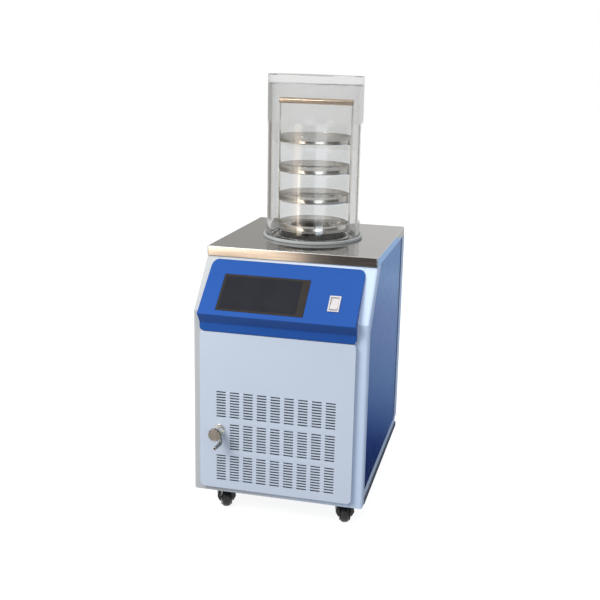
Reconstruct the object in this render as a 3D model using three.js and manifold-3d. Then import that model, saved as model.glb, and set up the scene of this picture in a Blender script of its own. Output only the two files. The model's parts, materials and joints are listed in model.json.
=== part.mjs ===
// A floor-standing laboratory freeze dryer: a sheet-metal cabinet on four swivel casters, with a
// sloping control console, a louvred front panel and a polished steel top. A clear drying chamber with a
// rack of four trays stands on the top, over the mouth of a refrigerated cold trap.
// Millimetres, +Z up. X runs across the front, -Y is the front, and Z = 0 is the floor.
import * as THREE from "three";
import { mergeVertices } from "three/addons/utils/BufferGeometryUtils.js";
import Module from "manifold-3d";

const wasm = await Module();
wasm.setup();

// ---------------------------------------------------------------- driving dimensions

const gap = 0.3; // between two pieces that touch
const sheet = 1.5; // painted steel sheet

// Cabinet. Depths are measured from the axis of the drying chamber, heights from the cabinet's underside.
const casterHeight = 73;
const cabinetWidth = 454;
const cabinetHeight = 638;
const frontReach = 332;
const rearReach = 230;
const panFlange = 38;
const rearReturn = 40;
const sidePanelInset = 2;
const sidePanelFold = 12;
const skidHeight = 13;
const skidThickness = 3;

// Front posts, which lean back in two cheeks beside the console.
const postWidth = 35;
const postDepth = 26;
const postRound = 6;
const postWall = 2;
const cheekDrop = 148; // from the cabinet's top down to where the posts' sides begin to lean back
const cheekWidth = 46;
const topRailHeight = 40;

// Steel top.
const plateSideGap = 1; // the steel top stands this far in from each side of the cabinet
const plateDepth = 468;
const plateEdge = 25;
const plateRound = 4;
const plateBend = 2;
const plateSetback = 4; // from the edge of the top to the head of the front posts

// The console and the front panel share one width, and leave more of the right post in view.
const faceWidth = 404;
const faceX = -4;

// Louvred front panel.
const panelProud = 12;
const panelBottom = 16;
const consoleDrop = 197; // from the cabinet's top down to the front panel's
const panelGap = 1.5;
const panelRound = 9;
const louvreColumns = 9;
const louvreRows = 3;
const louvreSlots = 10;
const slotWidth = 25;
const slotHeight = 3.6;
const slotPitch = 7.35;
const columnPitch = 36;
const rowPitch = 87.5;
const louvreLeft = 45; // from the panel's left edge to the first slot
const louvreTop = 157; // from the panel's top edge to the first slot

// Console.
const fasciaWall = 2;
const stripHeight = 22;
const lipReach = 19; // how far the lip stands out past the strip
const lipRise = 27; // height of the lip above the strip
const lipRound = 3;
const fasciaHead = 7; // between the fascia and the steel top
const fasciaFootRound = 10;
const fasciaHeadRound = 15;
const windowWidth = 226;
const windowThickness = 3;
const windowX = -49;
const windowFoot = 15; // from the lip to the window, along the slope
const windowHeadRoom = 43.4; // from the window to the head of the slope
const moduleDepth = 22;

// Power switch, set in the slope.
const switchX = 135.5;
const switchFoot = 38;
const bezelWidth = 29;
const bezelLength = 46;
const bezelProud = 2.5;
const bezelWall = 4;
const housingDepth = 20;
const rockerGap = 0.6;
const rockerTilt = 8; // degrees each side of level

// Drain valve in the front panel.
const valveLeft = 53.5; // from the panel's left edge
const valveDrop = 261; // from the panel's top edge
const valveFlange = 14.5;
const valveFlangeThickness = 6;
const valveBody = 9;
const valveBodyLength = 22;
const valveNeck = 5.5;
const valveShank = 7;
const valveTail = 20; // behind the panel's face
const knobRadius = 17;
const knobThickness = 9;
const knobReach = 42; // from the panel to the face of the knob
const outletRadius = 4.2;
const outletBore = 2.8;
const outletBend = 8;
const outletDrop = 32; // from the valve's axis down to the outlet's
const outletReach = 52; // from the panel to the outlet's end
const outletTurn = 6; // degrees, to the left of straight ahead
const outletLean = 16; // degrees that the outlet hangs to the right of straight down

// Drying chamber, its seal and its rack.
const chamberRadius = 130;
const chamberWall = 10;
const chamberHeight = 440; // from the steel top to the top of the lid
const lidThickness = 24;
const sealRadius = 138;
const sealBase = 4;
const sealLip = 8;
const sealLipGap = 1.5;
const trayCount = 4;
const trayRadius = 98;
const trayHeight = 20;
const trayWall = 1.2;
const trayCorner = 3;
const trayPitch = 79.5;
const firstTray = 22; // underside of the lowest tray above the steel top
const rodRadius = 2.4;
const rodGap = 0.6;
const rackRingHeight = 5;
const rackRingWidth = 9;
const barRadius = 8;
const rackHeadroom = 70; // from the middle of the rack's bar up to the chamber's lid
const tabLength = 9;
const tabWidth = 28;
const tabThickness = 2.5;

// Cold trap.
const mouthRadius = 93;
const potWall = 1.2;
const potDepth = 300;
const potCorner = 12;
const potFlange = 24;
const drainRadius = 6;
const hoseRadius = 5;
const hoseBore = 2.8;
const hoseBend = 22;
const coilTube = 3.5;
const coilTurns = 5;
const coilClearance = 2;
const foamWall = 40;
const foamFloor = 38;
const portRadius = 12.7; // vacuum pipe
const portBore = 10.5;
const portHeight = 555; // above the cabinet's underside
const portFlange = 20;
const portReach = 28;

// Refrigeration unit.
const condenserWidth = 262;
const condenserHeight = 210;
const condenserDepth = 38;
const condenserX = 18;
const condenserFloor = 12;
const condenserBehindPanel = 30;
const finCount = 17;
const shroudDepth = 30;
const fanRadius = 92;
const fanTipGap = 4;
const bladeCount = 5;
const hubRadius = 20;
const bladePitch = 32; // degrees
const motorRadius = 30;
const motorLength = 55;
const compressorRadius = 82;
const compressorHeight = 190;
const compressorY = 100;

// Rear connections.
const inletWidth = 30;
const inletHeight = 24;
const inletX = 140;
const inletZ = 90;
const rearSlotWidth = 60;
const rearSlotHeight = 6;
const rearSlotPitch = 16;
const rearSlotRows = 8;
const rearSlotColumns = 3;
const rearSlotGap = 20;
const rearSlotBottom = 190;

// Swivel casters, each with one wheel in a fork.
const casterSideInset = 62; // from the cabinet's sides to the swivel axes
const casterFrontInset = 78;
const casterRearInset = 50;
const casterTurns = { front_left: 200, front_right: 195, rear_left: 172, rear_right: 206 }; // degrees
const wheelRadius = 24;
const wheelWidth = 22;
const wheelCrown = 5; // the tread falls this far to its edges
const wheelHub = 8;
const hubWidth = 26;
const wheelBore = 4.3;
const axleRadius = 4;
const trail = 18;
const forkWall = 3.5;
const forkClearance = 3; // between the wheel and the fork's crown
const forkSlot = 30; // the width that the wheel turns in
const forkHead = 18; // half the fork's width, at its crown, its shoulders and its feet
const forkShoulder = 25.5;
const forkToe = 16.5;
const forkFoot = 15; // above the floor
const shoulderHeight = 33;
const shoulderRound = 9;
const legHalf = 9; // half a leg's length along the trail, at the axle
const swivelRadius = 12;
const casterPlateSize = 44;
const casterPlateThickness = 2.5;
const swivelNeck = 4;

// ---------------------------------------------------------------- derived places

const underside = casterHeight;
const topZ = underside + cabinetHeight;
const cheekFootZ = topZ - cheekDrop;
const skirtZ = topZ - plateEdge;
const frontY = -frontReach;
const panelY = frontY - panelProud;
const halfCabinet = cabinetWidth / 2;
const plateWidth = cabinetWidth - 2 * plateSideGap;
const barHeight = chamberHeight - rackHeadroom;
const halfOpening = halfCabinet - postWidth;
const postBackY = frontY + postDepth;
const headY = -plateDepth / 2 + plateSetback;
const cheekLean = (headY - frontY) / (skirtZ - gap - cheekFootZ); // Y per Z
const faceLeft = faceX - faceWidth / 2;
const faceRight = faceX + faceWidth / 2;
const panelHeadZ = topZ - consoleDrop;
const stripZ = panelHeadZ + panelGap;
const panelBackY = frontY - gap;
const lip = new THREE.Vector2(panelY - lipReach, stripZ + stripHeight + lipRise);
const fasciaTopZ = skirtZ - fasciaHead;
const cheekY = (z) => Math.max(frontY, headY - (skirtZ - gap - z) * cheekLean);
const fasciaHeadPoint = new THREE.Vector2(cheekY(fasciaTopZ) - 2 * fasciaWall, fasciaTopZ);
const rackRadius = trayRadius + rodGap + rodRadius;
const panFloorZ = underside + sheet;

// ---------------------------------------------------------------- shaping helpers

// A closed geometry as a solid that can be joined and cut.
function solid(geometry) {
  const bare = geometry.index ? geometry.toNonIndexed() : geometry;
  const shell = new THREE.BufferGeometry();
  shell.setAttribute("position", bare.getAttribute("position"));
  const merged = mergeVertices(shell, 1e-3);
  return new wasm.Manifold(
    new wasm.Mesh({
      numProp: 3,
      vertProperties: merged.getAttribute("position").array,
      triVerts: new Uint32Array(merged.index.array),
    }),
  );
}

// A solid back as a geometry with flat faces.
function geometryOf(body) {
  const mesh = body.getMesh();
  const geometry = new THREE.BufferGeometry();
  geometry.setAttribute("position", new THREE.BufferAttribute(mesh.vertProperties, 3));
  geometry.setIndex(new THREE.BufferAttribute(mesh.triVerts, 1));
  const flat = geometry.toNonIndexed();
  flat.computeVertexNormals();
  return flat;
}

function joined(...geometries) {
  return geometryOf(geometries.map(solid).reduce((a, b) => a.add(b)));
}

function cut(geometry, ...tools) {
  return geometryOf(tools.map(solid).reduce((a, b) => a.subtract(b), solid(geometry)));
}

function common(a, b) {
  return geometryOf(solid(a).intersect(solid(b)));
}

// A box between two corners.
function box(x0, x1, y0, y1, z0, z1) {
  const geometry = new THREE.BoxGeometry(x1 - x0, y1 - y0, z1 - z0);
  return geometry.translate((x0 + x1) / 2, (y0 + y1) / 2, (z0 + z1) / 2);
}

// A polygon with each corner rounded to its own radius, as points in the polygon's order.
function rounded(corners, radii, steps = 3) {
  const at = (i) => corners[(i + corners.length) % corners.length];
  return corners.flatMap((corner, i) => {
    const radius = Array.isArray(radii) ? radii[i] : radii;
    if (!radius) return [corner.clone()];
    const before = at(i - 1).clone().sub(corner).normalize();
    const after = at(i + 1).clone().sub(corner).normalize();
    const half = Math.acos(THREE.MathUtils.clamp(before.dot(after), -1, 1)) / 2;
    const centre = before.clone().add(after).setLength(radius / Math.sin(half)).add(corner);
    const start = corner.clone().addScaledVector(before, radius / Math.tan(half)).sub(centre);
    const turn = Math.sign(before.cross(after)) * -(Math.PI - 2 * half);
    return Array.from({ length: steps + 1 }, (_, k) =>
      start.clone().rotateAround(new THREE.Vector2(), (turn * k) / steps).add(centre),
    );
  });
}

// A counter-clockwise polygon moved inwards by a distance.
function inset(points, distance) {
  const count = points.length;
  return points.map((point, i) => {
    const into = point.clone().sub(points[(i + count - 1) % count]).normalize();
    const out = points[(i + 1) % count].clone().sub(point).normalize();
    const normal = new THREE.Vector2(-into.y - out.y, into.x + out.x).normalize();
    const cosine = normal.dot(new THREE.Vector2(-into.y, into.x));
    return point.clone().addScaledVector(normal, distance / cosine);
  });
}

const vectors = (...pairs) => pairs.map(([x, y]) => new THREE.Vector2(x, y));

const rectangle = (x0, x1, y0, y1) => vectors([x0, y0], [x1, y0], [x1, y1], [x0, y1]);

function extruded(points, depth, bevel = 0) {
  return new THREE.ExtrudeGeometry(new THREE.Shape(points), {
    depth,
    bevelEnabled: bevel > 0,
    bevelThickness: bevel,
    bevelSize: bevel,
    bevelOffset: -bevel,
    bevelSegments: 3,
  });
}

const axisX = new THREE.Vector3(1, 0, 0);
const axisY = new THREE.Vector3(0, 1, 0);
const axisZ = new THREE.Vector3(0, 0, 1);

// A side-view profile, drawn in Y and Z, carried across from x0 to x1.
function acrossX(points, x0, x1, bevel = 0) {
  const geometry = extruded(points, x1 - x0 - 2 * bevel, bevel);
  return geometry
    .applyMatrix4(new THREE.Matrix4().makeBasis(axisY, axisZ, axisX))
    .translate(x0 + bevel, 0, 0);
}

// A front-view profile, drawn in X and Z, carried back from y0 to y1.
function alongY(points, y0, y1) {
  return extruded(points, y1 - y0)
    .applyMatrix4(new THREE.Matrix4().makeBasis(axisX, axisZ, axisY.clone().negate()))
    .translate(0, y1, 0);
}

// A sheet between two depths, with holes right through it. All are front-view profiles.
function pierced(points, y0, y1, holes) {
  return cut(alongY(points, y0, y1), ...holes.map((hole) => alongY(hole, y0 - 1, y1 + 1)));
}

// A profile of radius and height pairs, turned about a vertical axis.
function turned(pairs, segments) {
  return new THREE.LatheGeometry(vectors(...pairs), segments).rotateX(Math.PI / 2);
}

// The same about an axis along Y: the second number of each pair is then a depth.
function turnedY(pairs, segments) {
  return new THREE.LatheGeometry(vectors(...pairs), segments);
}

// The same about an axis along X.
function turnedX(pairs, segments) {
  return new THREE.LatheGeometry(vectors(...pairs), segments).rotateZ(-Math.PI / 2);
}

const cylinder = (radius, z0, z1, segments) =>
  turned([[0, z0], [radius, z0], [radius, z1], [0, z1]], segments);

const ring = (inner, outer, z0, z1) => [[inner, z0], [outer, z0], [outer, z1], [inner, z1], [inner, z0]];

function circle(radius, segments) {
  return Array.from({ length: segments }, (_, k) =>
    new THREE.Vector2(radius, 0).rotateAround(new THREE.Vector2(), (2 * Math.PI * k) / segments),
  );
}

// A round bar or tube that follows a curve.
function piped(curve, radius, steps, sides, bore = 0) {
  const shape = new THREE.Shape(circle(radius, sides));
  if (bore) shape.holes.push(new THREE.Path(circle(bore, sides).reverse()));
  return new THREE.ExtrudeGeometry(shape, { steps, extrudePath: curve, bevelEnabled: false });
}

// A path of straight runs through the points, with a bend of one size at each corner.
function route(bend, ...points) {
  const path = new THREE.CurvePath();
  const at = points.map((point) => new THREE.Vector3(...point));
  let from = at[0];
  for (let i = 1; i < at.length - 1; i++) {
    const start = at[i - 1].clone().sub(at[i]).setLength(bend).add(at[i]);
    const end = at[i + 1].clone().sub(at[i]).setLength(bend).add(at[i]);
    path.add(new THREE.LineCurve3(from, start));
    path.add(new THREE.QuadraticBezierCurve3(start, at[i], end));
    from = end;
  }
  path.add(new THREE.LineCurve3(from, at.at(-1)));
  return path;
}

// ---------------------------------------------------------------- materials

const finish = (color, roughness, metalness, more = {}) =>
  new THREE.MeshStandardMaterial({ color, roughness, metalness, ...more });

const whitePaint = finish(0xdde2ea, 0.45, 0);
const panelPaint = finish(0xc9cfdd, 0.45, 0);
const darkPaint = finish(0x33353c, 0.5, 0);
const bluePaint = finish(0x2a4690, 0.4, 0);
const blueFascia = finish(0x2c57ae, 0.38, 0);
const steel = finish(0xb9bab8, 0.22, 1);
const chrome = finish(0xc8c8c6, 0.12, 1);
const zinc = finish(0x9aa0a4, 0.4, 1);
const clear = finish(0xeef1f0, 0.05, 0, { transparent: true, opacity: 0.25 });
const silicone = finish(0x9aa09c, 0.55, 0);
const darkWindow = finish(0x2e2620, 0.12, 0);
const paleSwitch = finish(0xcfc9c8, 0.4, 0);
const blackNylon = finish(0x17181a, 0.45, 0);
const blackEnamel = finish(0x1d1e20, 0.4, 0);
const copper = finish(0xb4713f, 0.3, 1);
const foam = finish(0x2b2c2e, 0.95, 0);
const board = finish(0x23553a, 0.6, 0);

function piece(name, geometry, material) {
  const mesh = new THREE.Mesh(geometry, material);
  mesh.name = name;
  return mesh;
}

function group(...members) {
  const made = new THREE.Group();
  made.add(...members);
  return made;
}

// ---------------------------------------------------------------- cabinet

// The folded tray that carries everything. Its flanges show as the rails at the foot of the cabinet.
function basePan() {
  const rim = underside + panFlange;
  const half = halfCabinet - skidThickness - gap;
  const rear = rearReach - skidThickness - gap;
  const notchX = halfOpening - gap;
  const outer = box(-half, half, frontY, rear, underside, rim);
  const inside = box(-half + sheet, half - sheet, frontY + sheet, rear - sheet, panFloorZ, rim + 1);
  const corner = (x0, x1) => box(x0, x1, frontY - 1, postBackY + gap, underside - 1, rim + 1);
  const corners = [corner(-half - 1, -notchX), corner(notchX, half + 1)];
  return piece("base_pan", cut(outer, inside, ...corners), whitePaint);
}

// A dark bar bent round the foot of the sides and the back.
function baseSkid() {
  const inner = halfCabinet - skidThickness;
  const start = postBackY + gap;
  const top = underside + skidHeight;
  const outer = box(-halfCabinet, halfCabinet, start, rearReach, underside, top);
  const inside = box(-inner, inner, start - 1, rearReach - skidThickness, underside - 1, top + 1);
  return piece("base_skid", cut(outer, inside), darkPaint);
}

// Side view of a front post: upright below, leaning back in a cheek above.
const postProfile = (() => {
  const top = skirtZ - gap;
  const foot = cheekFootZ;
  const backY = postBackY;
  const backZ = top - (headY + cheekWidth - backY) / cheekLean;
  return vectors(
    [frontY, underside], [backY, underside], [backY, backZ],
    [headY + cheekWidth, top], [headY, top], [frontY, foot],
  );
})();

// A folded channel, open towards the inside of the cabinet, with its outer edges rounded.
function frontPost(name, side) {
  const wide = postWidth + postRound;
  const slab = acrossX(postProfile, 0, wide, postRound);
  const outside = side > 0 ? [postRound, wide] : [0, postWidth];
  const hollow = side > 0 ? [0, wide - postWall] : [postWall, wide];
  const kept = common(slab, box(...outside, -frontReach - 1, frontReach, 0, topZ));
  const post = cut(kept, acrossX(inset(postProfile, postWall), ...hollow));
  return piece(name, post.translate(side > 0 ? halfCabinet - wide : -halfCabinet, 0, 0), whitePaint);
}

// The white strip behind the head of the console, between the two cheeks.
function frontTopRail() {
  const top = skirtZ - gap;
  const foot = top - topRailHeight;
  const half = halfOpening - gap;
  const profile = vectors(
    [cheekY(foot), foot], [cheekY(foot) + postWall, foot],
    [headY + postWall, top], [headY, top],
  );
  return piece("front_top_rail", acrossX(profile, -half, half), whitePaint);
}

const sidePanelProfile = (() => {
  const [, , backCorner, headCorner] = postProfile;
  const rearEdge = rearReach - rearReturn - gap;
  const top = skirtZ - gap;
  const foot = underside + panFlange + gap;
  return vectors(
    [backCorner.x + gap, foot], [rearEdge, foot], [rearEdge, top],
    [headCorner.x + gap, top], [backCorner.x + gap, backCorner.y],
  );
})();

// A flat side panel with its edges folded in.
function sidePanel(name, side) {
  const face = halfCabinet - sidePanelInset;
  const hidden = face - sidePanelFold;
  const outer = acrossX(sidePanelProfile, side > 0 ? hidden : -face, side > 0 ? face : -hidden);
  const pocket = acrossX(
    inset(sidePanelProfile, sheet),
    side > 0 ? hidden - 1 : -face + sheet,
    side > 0 ? face - sheet : -hidden + 1,
  );
  return piece(name, cut(outer, pocket), bluePaint);
}

const rearSlots = [];
for (let row = 0; row < rearSlotRows; row++) {
  for (let column = 0; column < rearSlotColumns; column++) {
    const x = (column - (rearSlotColumns - 1) / 2) * (rearSlotWidth + rearSlotGap);
    const z = underside + rearSlotBottom + row * rearSlotPitch;
    rearSlots.push(rectangle(x - rearSlotWidth / 2, x + rearSlotWidth / 2, z, z + rearSlotHeight));
  }
}

const portHole = circle(portRadius + 1, 24).map((p) => p.add(new THREE.Vector2(0, underside + portHeight)));
const inletHole = rectangle(
  inletX - inletWidth / 2, inletX + inletWidth / 2,
  underside + inletZ, underside + inletZ + inletHeight,
);

// The back of the cabinet, folded forward at both sides into the rear corner strips.
function rearCover() {
  const foot = underside + panFlange + gap;
  const top = skirtZ - gap;
  const holes = [...rearSlots, portHole, inletHole];
  const outline = rectangle(-halfCabinet, halfCabinet, foot, top);
  const back = pierced(outline, rearReach - sheet, rearReach, holes);
  const fold = (x0, x1) => box(x0, x1, rearReach - rearReturn, rearReach, foot, top);
  const folds = [
    fold(-halfCabinet, -halfCabinet + sheet),
    fold(halfCabinet - sheet, halfCabinet),
  ];
  return piece("rear_cover", joined(back, ...folds), whitePaint);
}

// The steel top: one sheet with its edges folded down, and a round mouth for the cold trap.
function topPlate() {
  const outline = rounded(
    rectangle(-plateWidth / 2, plateWidth / 2, -plateDepth / 2, plateDepth / 2),
    plateRound,
  );
  const slab = extruded(outline, plateEdge, plateBend).translate(0, 0, skirtZ - plateBend);
  const kept = cut(
    slab,
    box(-plateWidth, plateWidth, -plateDepth, plateDepth, skirtZ - 2 * plateEdge, skirtZ),
    box(-plateWidth, plateWidth, -plateDepth, plateDepth, topZ, topZ + plateEdge),
  );
  const inside = extruded(inset(outline, sheet), plateEdge).translate(0, 0, topZ - sheet - plateEdge);
  const mouth = cylinder(mouthRadius + potWall + gap, skirtZ, topZ + 1, 48);
  return piece("top_plate", cut(kept, inside, mouth), steel);
}

// ---------------------------------------------------------------- front panel

const valveX = faceLeft + valveLeft;
const valveZ = panelHeadZ - valveDrop;

const louvres = [];
for (let row = 0; row < louvreRows; row++) {
  for (let column = 0; column < louvreColumns; column++) {
    const x = faceLeft + louvreLeft + column * columnPitch;
    const top = panelHeadZ - louvreTop - row * rowPitch;
    const blockFoot = top - (louvreSlots - 1) * slotPitch - slotHeight;
    const holdsValve = valveX > x && valveX < x + slotWidth && valveZ > blockFoot && valveZ < top;
    if (holdsValve) continue;
    for (let slot = 0; slot < louvreSlots; slot++) {
      const z = top - slot * slotPitch;
      louvres.push(rectangle(x, x + slotWidth, z - slotHeight, z));
    }
  }
}

// A tray-shaped panel that stands proud of the posts, with a block of louvres left out round the valve.
function frontPanel() {
  const outline = rounded(
    rectangle(faceLeft, faceRight, underside + panelBottom, panelHeadZ),
    panelRound,
  );
  const valveHole = circle(valveShank + 1, 20).map((p) => p.add(new THREE.Vector2(valveX, valveZ)));
  const face = pierced(outline, panelY, panelY + sheet, [...louvres, valveHole]);
  const folds = pierced(outline, panelY + sheet / 2, panelBackY, [inset(outline, sheet)]);
  return piece("front_panel", joined(face, folds), panelPaint);
}

// ---------------------------------------------------------------- console

const slope = fasciaHeadPoint.clone().sub(lip);
const windowLength = slope.length() - windowFoot - windowHeadRoom;
const slopeUp = new THREE.Vector3(0, slope.x, slope.y).normalize();
const slopeOut = axisX.clone().cross(slopeUp);
// Carries a piece drawn on the slope, with X across, Y up the slope and Z out of it, into the cabinet.
const onSlope = new THREE.Matrix4()
  .makeBasis(axisX, slopeUp, slopeOut)
  .setPosition(0, lip.x, lip.y);

const fasciaProfile = (() => {
  return rounded(
    vectors(
      [panelY, stripZ], [panelBackY, stripZ], [panelBackY, cheekFootZ],
      [cheekY(fasciaTopZ) - gap, fasciaTopZ], [fasciaHeadPoint.x, fasciaTopZ],
      [lip.x, lip.y], [panelY, stripZ + stripHeight],
    ),
    [0, 0, 0, 0, 0, lipRound, lipRound],
  );
})();

// Room behind the fascia: the same profile, set in by its wall and carried out through its back.
const fasciaRoom = (() => {
  const inner = inset(fasciaProfile, fasciaWall);
  const head = inner.slice(4);
  return [inner[0], new THREE.Vector2(headY, inner[0].y), new THREE.Vector2(headY, head[0].y), ...head];
})();

const fasciaOutline = rounded(
  rectangle(faceLeft, faceRight, stripZ, fasciaTopZ),
  [fasciaFootRound, fasciaFootRound, fasciaHeadRound, fasciaHeadRound],
);

function consoleFascia() {
  const solidWedge = acrossX(fasciaProfile, faceLeft, faceRight);
  const frontView = alongY(fasciaOutline, lip.x - 1, 0);
  const room = common(
    acrossX(fasciaRoom, faceLeft, faceRight),
    alongY(inset(fasciaOutline, fasciaWall), lip.x - 1, 0),
  );
  const deep = 4 * fasciaWall;
  const windowHole = box(
    windowX - windowWidth / 2 - gap, windowX + windowWidth / 2 + gap,
    windowFoot - gap, windowFoot + windowLength + gap, -deep, deep,
  ).applyMatrix4(onSlope);
  const half = bezelWidth / 2 - bezelWall / 2 + gap;
  const switchHole = box(
    switchX - half, switchX + half,
    switchFoot + bezelWall / 2 - gap, switchFoot + bezelLength - bezelWall / 2 + gap, -deep, deep,
  ).applyMatrix4(onSlope);
  const shell = cut(common(solidWedge, frontView), room, windowHole, switchHole);
  return piece("console_fascia", shell, blueFascia);
}

// Pieces set in the sloping face, drawn on that face.
function consoleFittings() {
  const windowPane = box(
    windowX - windowWidth / 2, windowX + windowWidth / 2,
    windowFoot, windowFoot + windowLength, -windowThickness, 0,
  );
  const back = -windowThickness - gap;
  const module = box(
    windowX - windowWidth / 2 + fasciaWall, windowX + windowWidth / 2 - fasciaWall,
    windowFoot + fasciaWall, windowFoot + windowLength - fasciaWall, back - moduleDepth, back,
  );
  const length = bezelLength - 2 * bezelWall;
  const width = bezelWidth - 2 * bezelWall;
  const middle = switchFoot + bezelLength / 2;
  const slotBox = (x, y, z0, z1) => box(switchX - x / 2, switchX + x / 2, middle - y / 2, middle + y / 2, z0, z1);
  const bezel = cut(
    joined(
      slotBox(bezelWidth, bezelLength, gap, bezelProud),
      slotBox(bezelWidth - bezelWall, bezelLength - bezelWall, -housingDepth, bezelProud / 2),
    ),
    slotBox(width, length, -housingDepth + bezelWall, bezelProud + 1),
  );
  const fittings = group(
    piece("display_window", windowPane, darkWindow),
    piece("display_module", module, board),
    piece("switch_bezel", bezel, paleSwitch),
    switchRocker(length - 2 * rockerGap, width - 2 * rockerGap, middle),
  );
  fittings.applyMatrix4(onSlope);
  return fittings;
}

// A dished rocker, tipped to its off side, that turns on a pivot below its face.
function switchRocker(length, width, middle) {
  const end = length / 2 - rockerGap;
  const pivotDepth = 3;
  const crown = 4.5;
  const dish = 2.5;
  const profile = vectors([-end, -2], [end, -2], [end, crown], [0, dish], [-end, crown]);
  const rocker = piece("switch_rocker", acrossX(profile, -width / 2, width / 2), paleSwitch);
  rocker.position.set(switchX, middle, -pivotDepth);
  rocker.rotation.x = -THREE.MathUtils.degToRad(rockerTilt);
  return rocker;
}

// ---------------------------------------------------------------- drain valve

// Drawn round the valve's own axis, with its seat on the panel's face at Y = 0 and the front at -Y.
function drainValve() {
  const stubY = -(valveBodyLength + valveFlangeThickness) / 2;
  const stubFoot = -valveBody - 6;
  const lean = -THREE.MathUtils.degToRad(outletLean);
  const stub = cylinder(outletRadius + 2, stubFoot, 0, 16).translate(0, stubY, 0).rotateY(lean);
  const bodyShape = turnedY(
    [
      [0, -valveBodyLength - 4], [valveNeck, -valveBodyLength - 4], [valveNeck, -valveBodyLength],
      [valveBody, -valveBodyLength], [valveBody, -valveFlangeThickness], [valveFlange, -valveFlangeThickness],
      [valveFlange, -gap], [valveShank, -gap], [valveShank, valveTail], [0, valveTail],
    ],
    24,
  );
  const along = outletReach + stubY;
  const way = route(
    outletBend, [0, 0, stubFoot - gap], [0, 0, -outletDrop], [0, -along, -outletDrop],
  );
  const outlet = piece("drain_valve_outlet", piped(way, outletRadius, 9, 8, outletBore), zinc);
  outlet.position.y = stubY;
  outlet.rotation.z = -THREE.MathUtils.degToRad(outletTurn);
  const hanging = group(outlet);
  hanging.rotation.y = lean;
  const valve = group(
    piece("drain_valve_body", joined(bodyShape, stub), chrome),
    hanging,
    valveKnob(),
  );
  valve.position.set(valveX, panelY, valveZ);
  return valve;
}

// A fluted disc on a short stem.
function valveKnob() {
  const flutes = 12;
  const flute = 0.6;
  const points = Array.from({ length: flutes * 4 }, (_, k) => {
    const angle = (2 * Math.PI * k) / (flutes * 4);
    const radius = knobRadius - flute + flute * Math.cos(flutes * angle);
    return new THREE.Vector2(radius * Math.cos(angle), radius * Math.sin(angle));
  });
  const disc = alongY(points, -knobReach, -knobReach + knobThickness);
  const stemStart = -knobReach + knobThickness / 2;
  const stem = turnedY(
    [
      [0, stemStart], [valveNeck - 1, stemStart],
      [valveNeck - 1, -valveBodyLength - 4 - gap], [0, -valveBodyLength - 4 - gap],
    ],
    16,
  );
  return piece("drain_valve_knob", joined(disc, stem), zinc);
}

// ---------------------------------------------------------------- drying chamber and rack

const chamberSegments = 48;

function chamberSeal() {
  const lipInner = chamberRadius + sealLipGap;
  const inner = chamberRadius - chamberWall - 3;
  return piece(
    "chamber_seal",
    turned(
      [
        [inner, gap], [sealRadius, gap], [sealRadius, sealLip], [lipInner, sealLip],
        [lipInner, sealBase], [inner, sealBase], [inner, gap],
      ],
      chamberSegments,
    ),
    silicone,
  );
}

function chamberTube() {
  const top = chamberHeight - lidThickness - gap;
  const wall = ring(chamberRadius - chamberWall, chamberRadius, sealBase + gap, top);
  return piece("chamber_tube", turned(wall, chamberSegments), clear);
}

function chamberLid() {
  const edge = 1.5;
  const foot = chamberHeight - lidThickness;
  return piece(
    "chamber_lid",
    turned(
      [
        [0, foot], [chamberRadius, foot], [chamberRadius, chamberHeight - edge],
        [chamberRadius - edge, chamberHeight], [0, chamberHeight],
      ],
      chamberSegments,
    ),
    clear,
  );
}

const trayFloor = (index) => firstTray + index * trayPitch;

function tray(index) {
  const inner = trayRadius - trayWall;
  const shape = turned(
    [
      [0, 0], [trayRadius - trayCorner, 0], [trayRadius, trayCorner], [trayRadius, trayHeight],
      [inner, trayHeight], [inner, trayCorner], [inner - trayCorner + trayWall / 2, trayWall], [0, trayWall],
    ],
    36,
  );
  const made = piece("tray_" + (index + 1), shape, steel);
  made.position.z = trayFloor(index);
  return made;
}

// An upright rod with a tab under each tray. It stands on the ring and carries the bar.
function rackRod(name, angle) {
  const foot = gap + rackRingHeight + gap;
  const rod = cylinder(rodRadius, foot, barHeight - barRadius - gap, 8);
  const tabs = Array.from({ length: trayCount }, (_, k) => {
    const top = trayFloor(k) - gap;
    return box(-tabLength, 0, -tabWidth / 2, tabWidth / 2, top - tabThickness, top);
  });
  const made = piece(name, joined(rod, ...tabs), steel);
  made.position.set(rackRadius * Math.cos(angle), rackRadius * Math.sin(angle), 0);
  made.rotation.z = angle;
  return made;
}

function rack() {
  const outer = rackRadius + rodRadius + 1;
  const base = turned(ring(outer - rackRingWidth, outer, gap, gap + rackRingHeight), 36);
  const half = rackRadius + rodRadius;
  const edge = 1;
  const bar = turnedX(
    [
      [0, -half], [barRadius - edge, -half], [barRadius, -half + edge],
      [barRadius, half - edge], [barRadius - edge, half], [0, half],
    ],
    20,
  );
  return group(
    piece("rack_base_ring", base, steel),
    piece("rack_top_bar", bar.translate(0, 0, barHeight), steel),
    rackRod("rack_rod_right", 0),
    rackRod("rack_rod_left", Math.PI),
    ...Array.from({ length: trayCount }, (_, k) => tray(k)),
  );
}

function dryingChamber() {
  const chamber = group(chamberSeal(), chamberTube(), chamberLid(), rack());
  chamber.position.z = topZ;
  return chamber;
}

// ---------------------------------------------------------------- cold trap

const potOuter = mouthRadius + potWall;
const potFloorZ = topZ - potDepth;
const portZ = underside + portHeight;
const coilSteps = 16; // straight lengths in each turn, which stay clear of the pot at their middles
const coilRadius = (potOuter + gap + coilTube) / Math.cos(Math.PI / coilSteps);
const coilFootZ = potFloorZ + potCorner + coilTube;
const coilHeadZ = portZ - portRadius - coilClearance - coilTube;
const foamInner = coilRadius + coilTube + coilClearance;
const foamOuter = foamInner + foamWall;
const foamBase = potFloorZ - gap - foamFloor;

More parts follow.
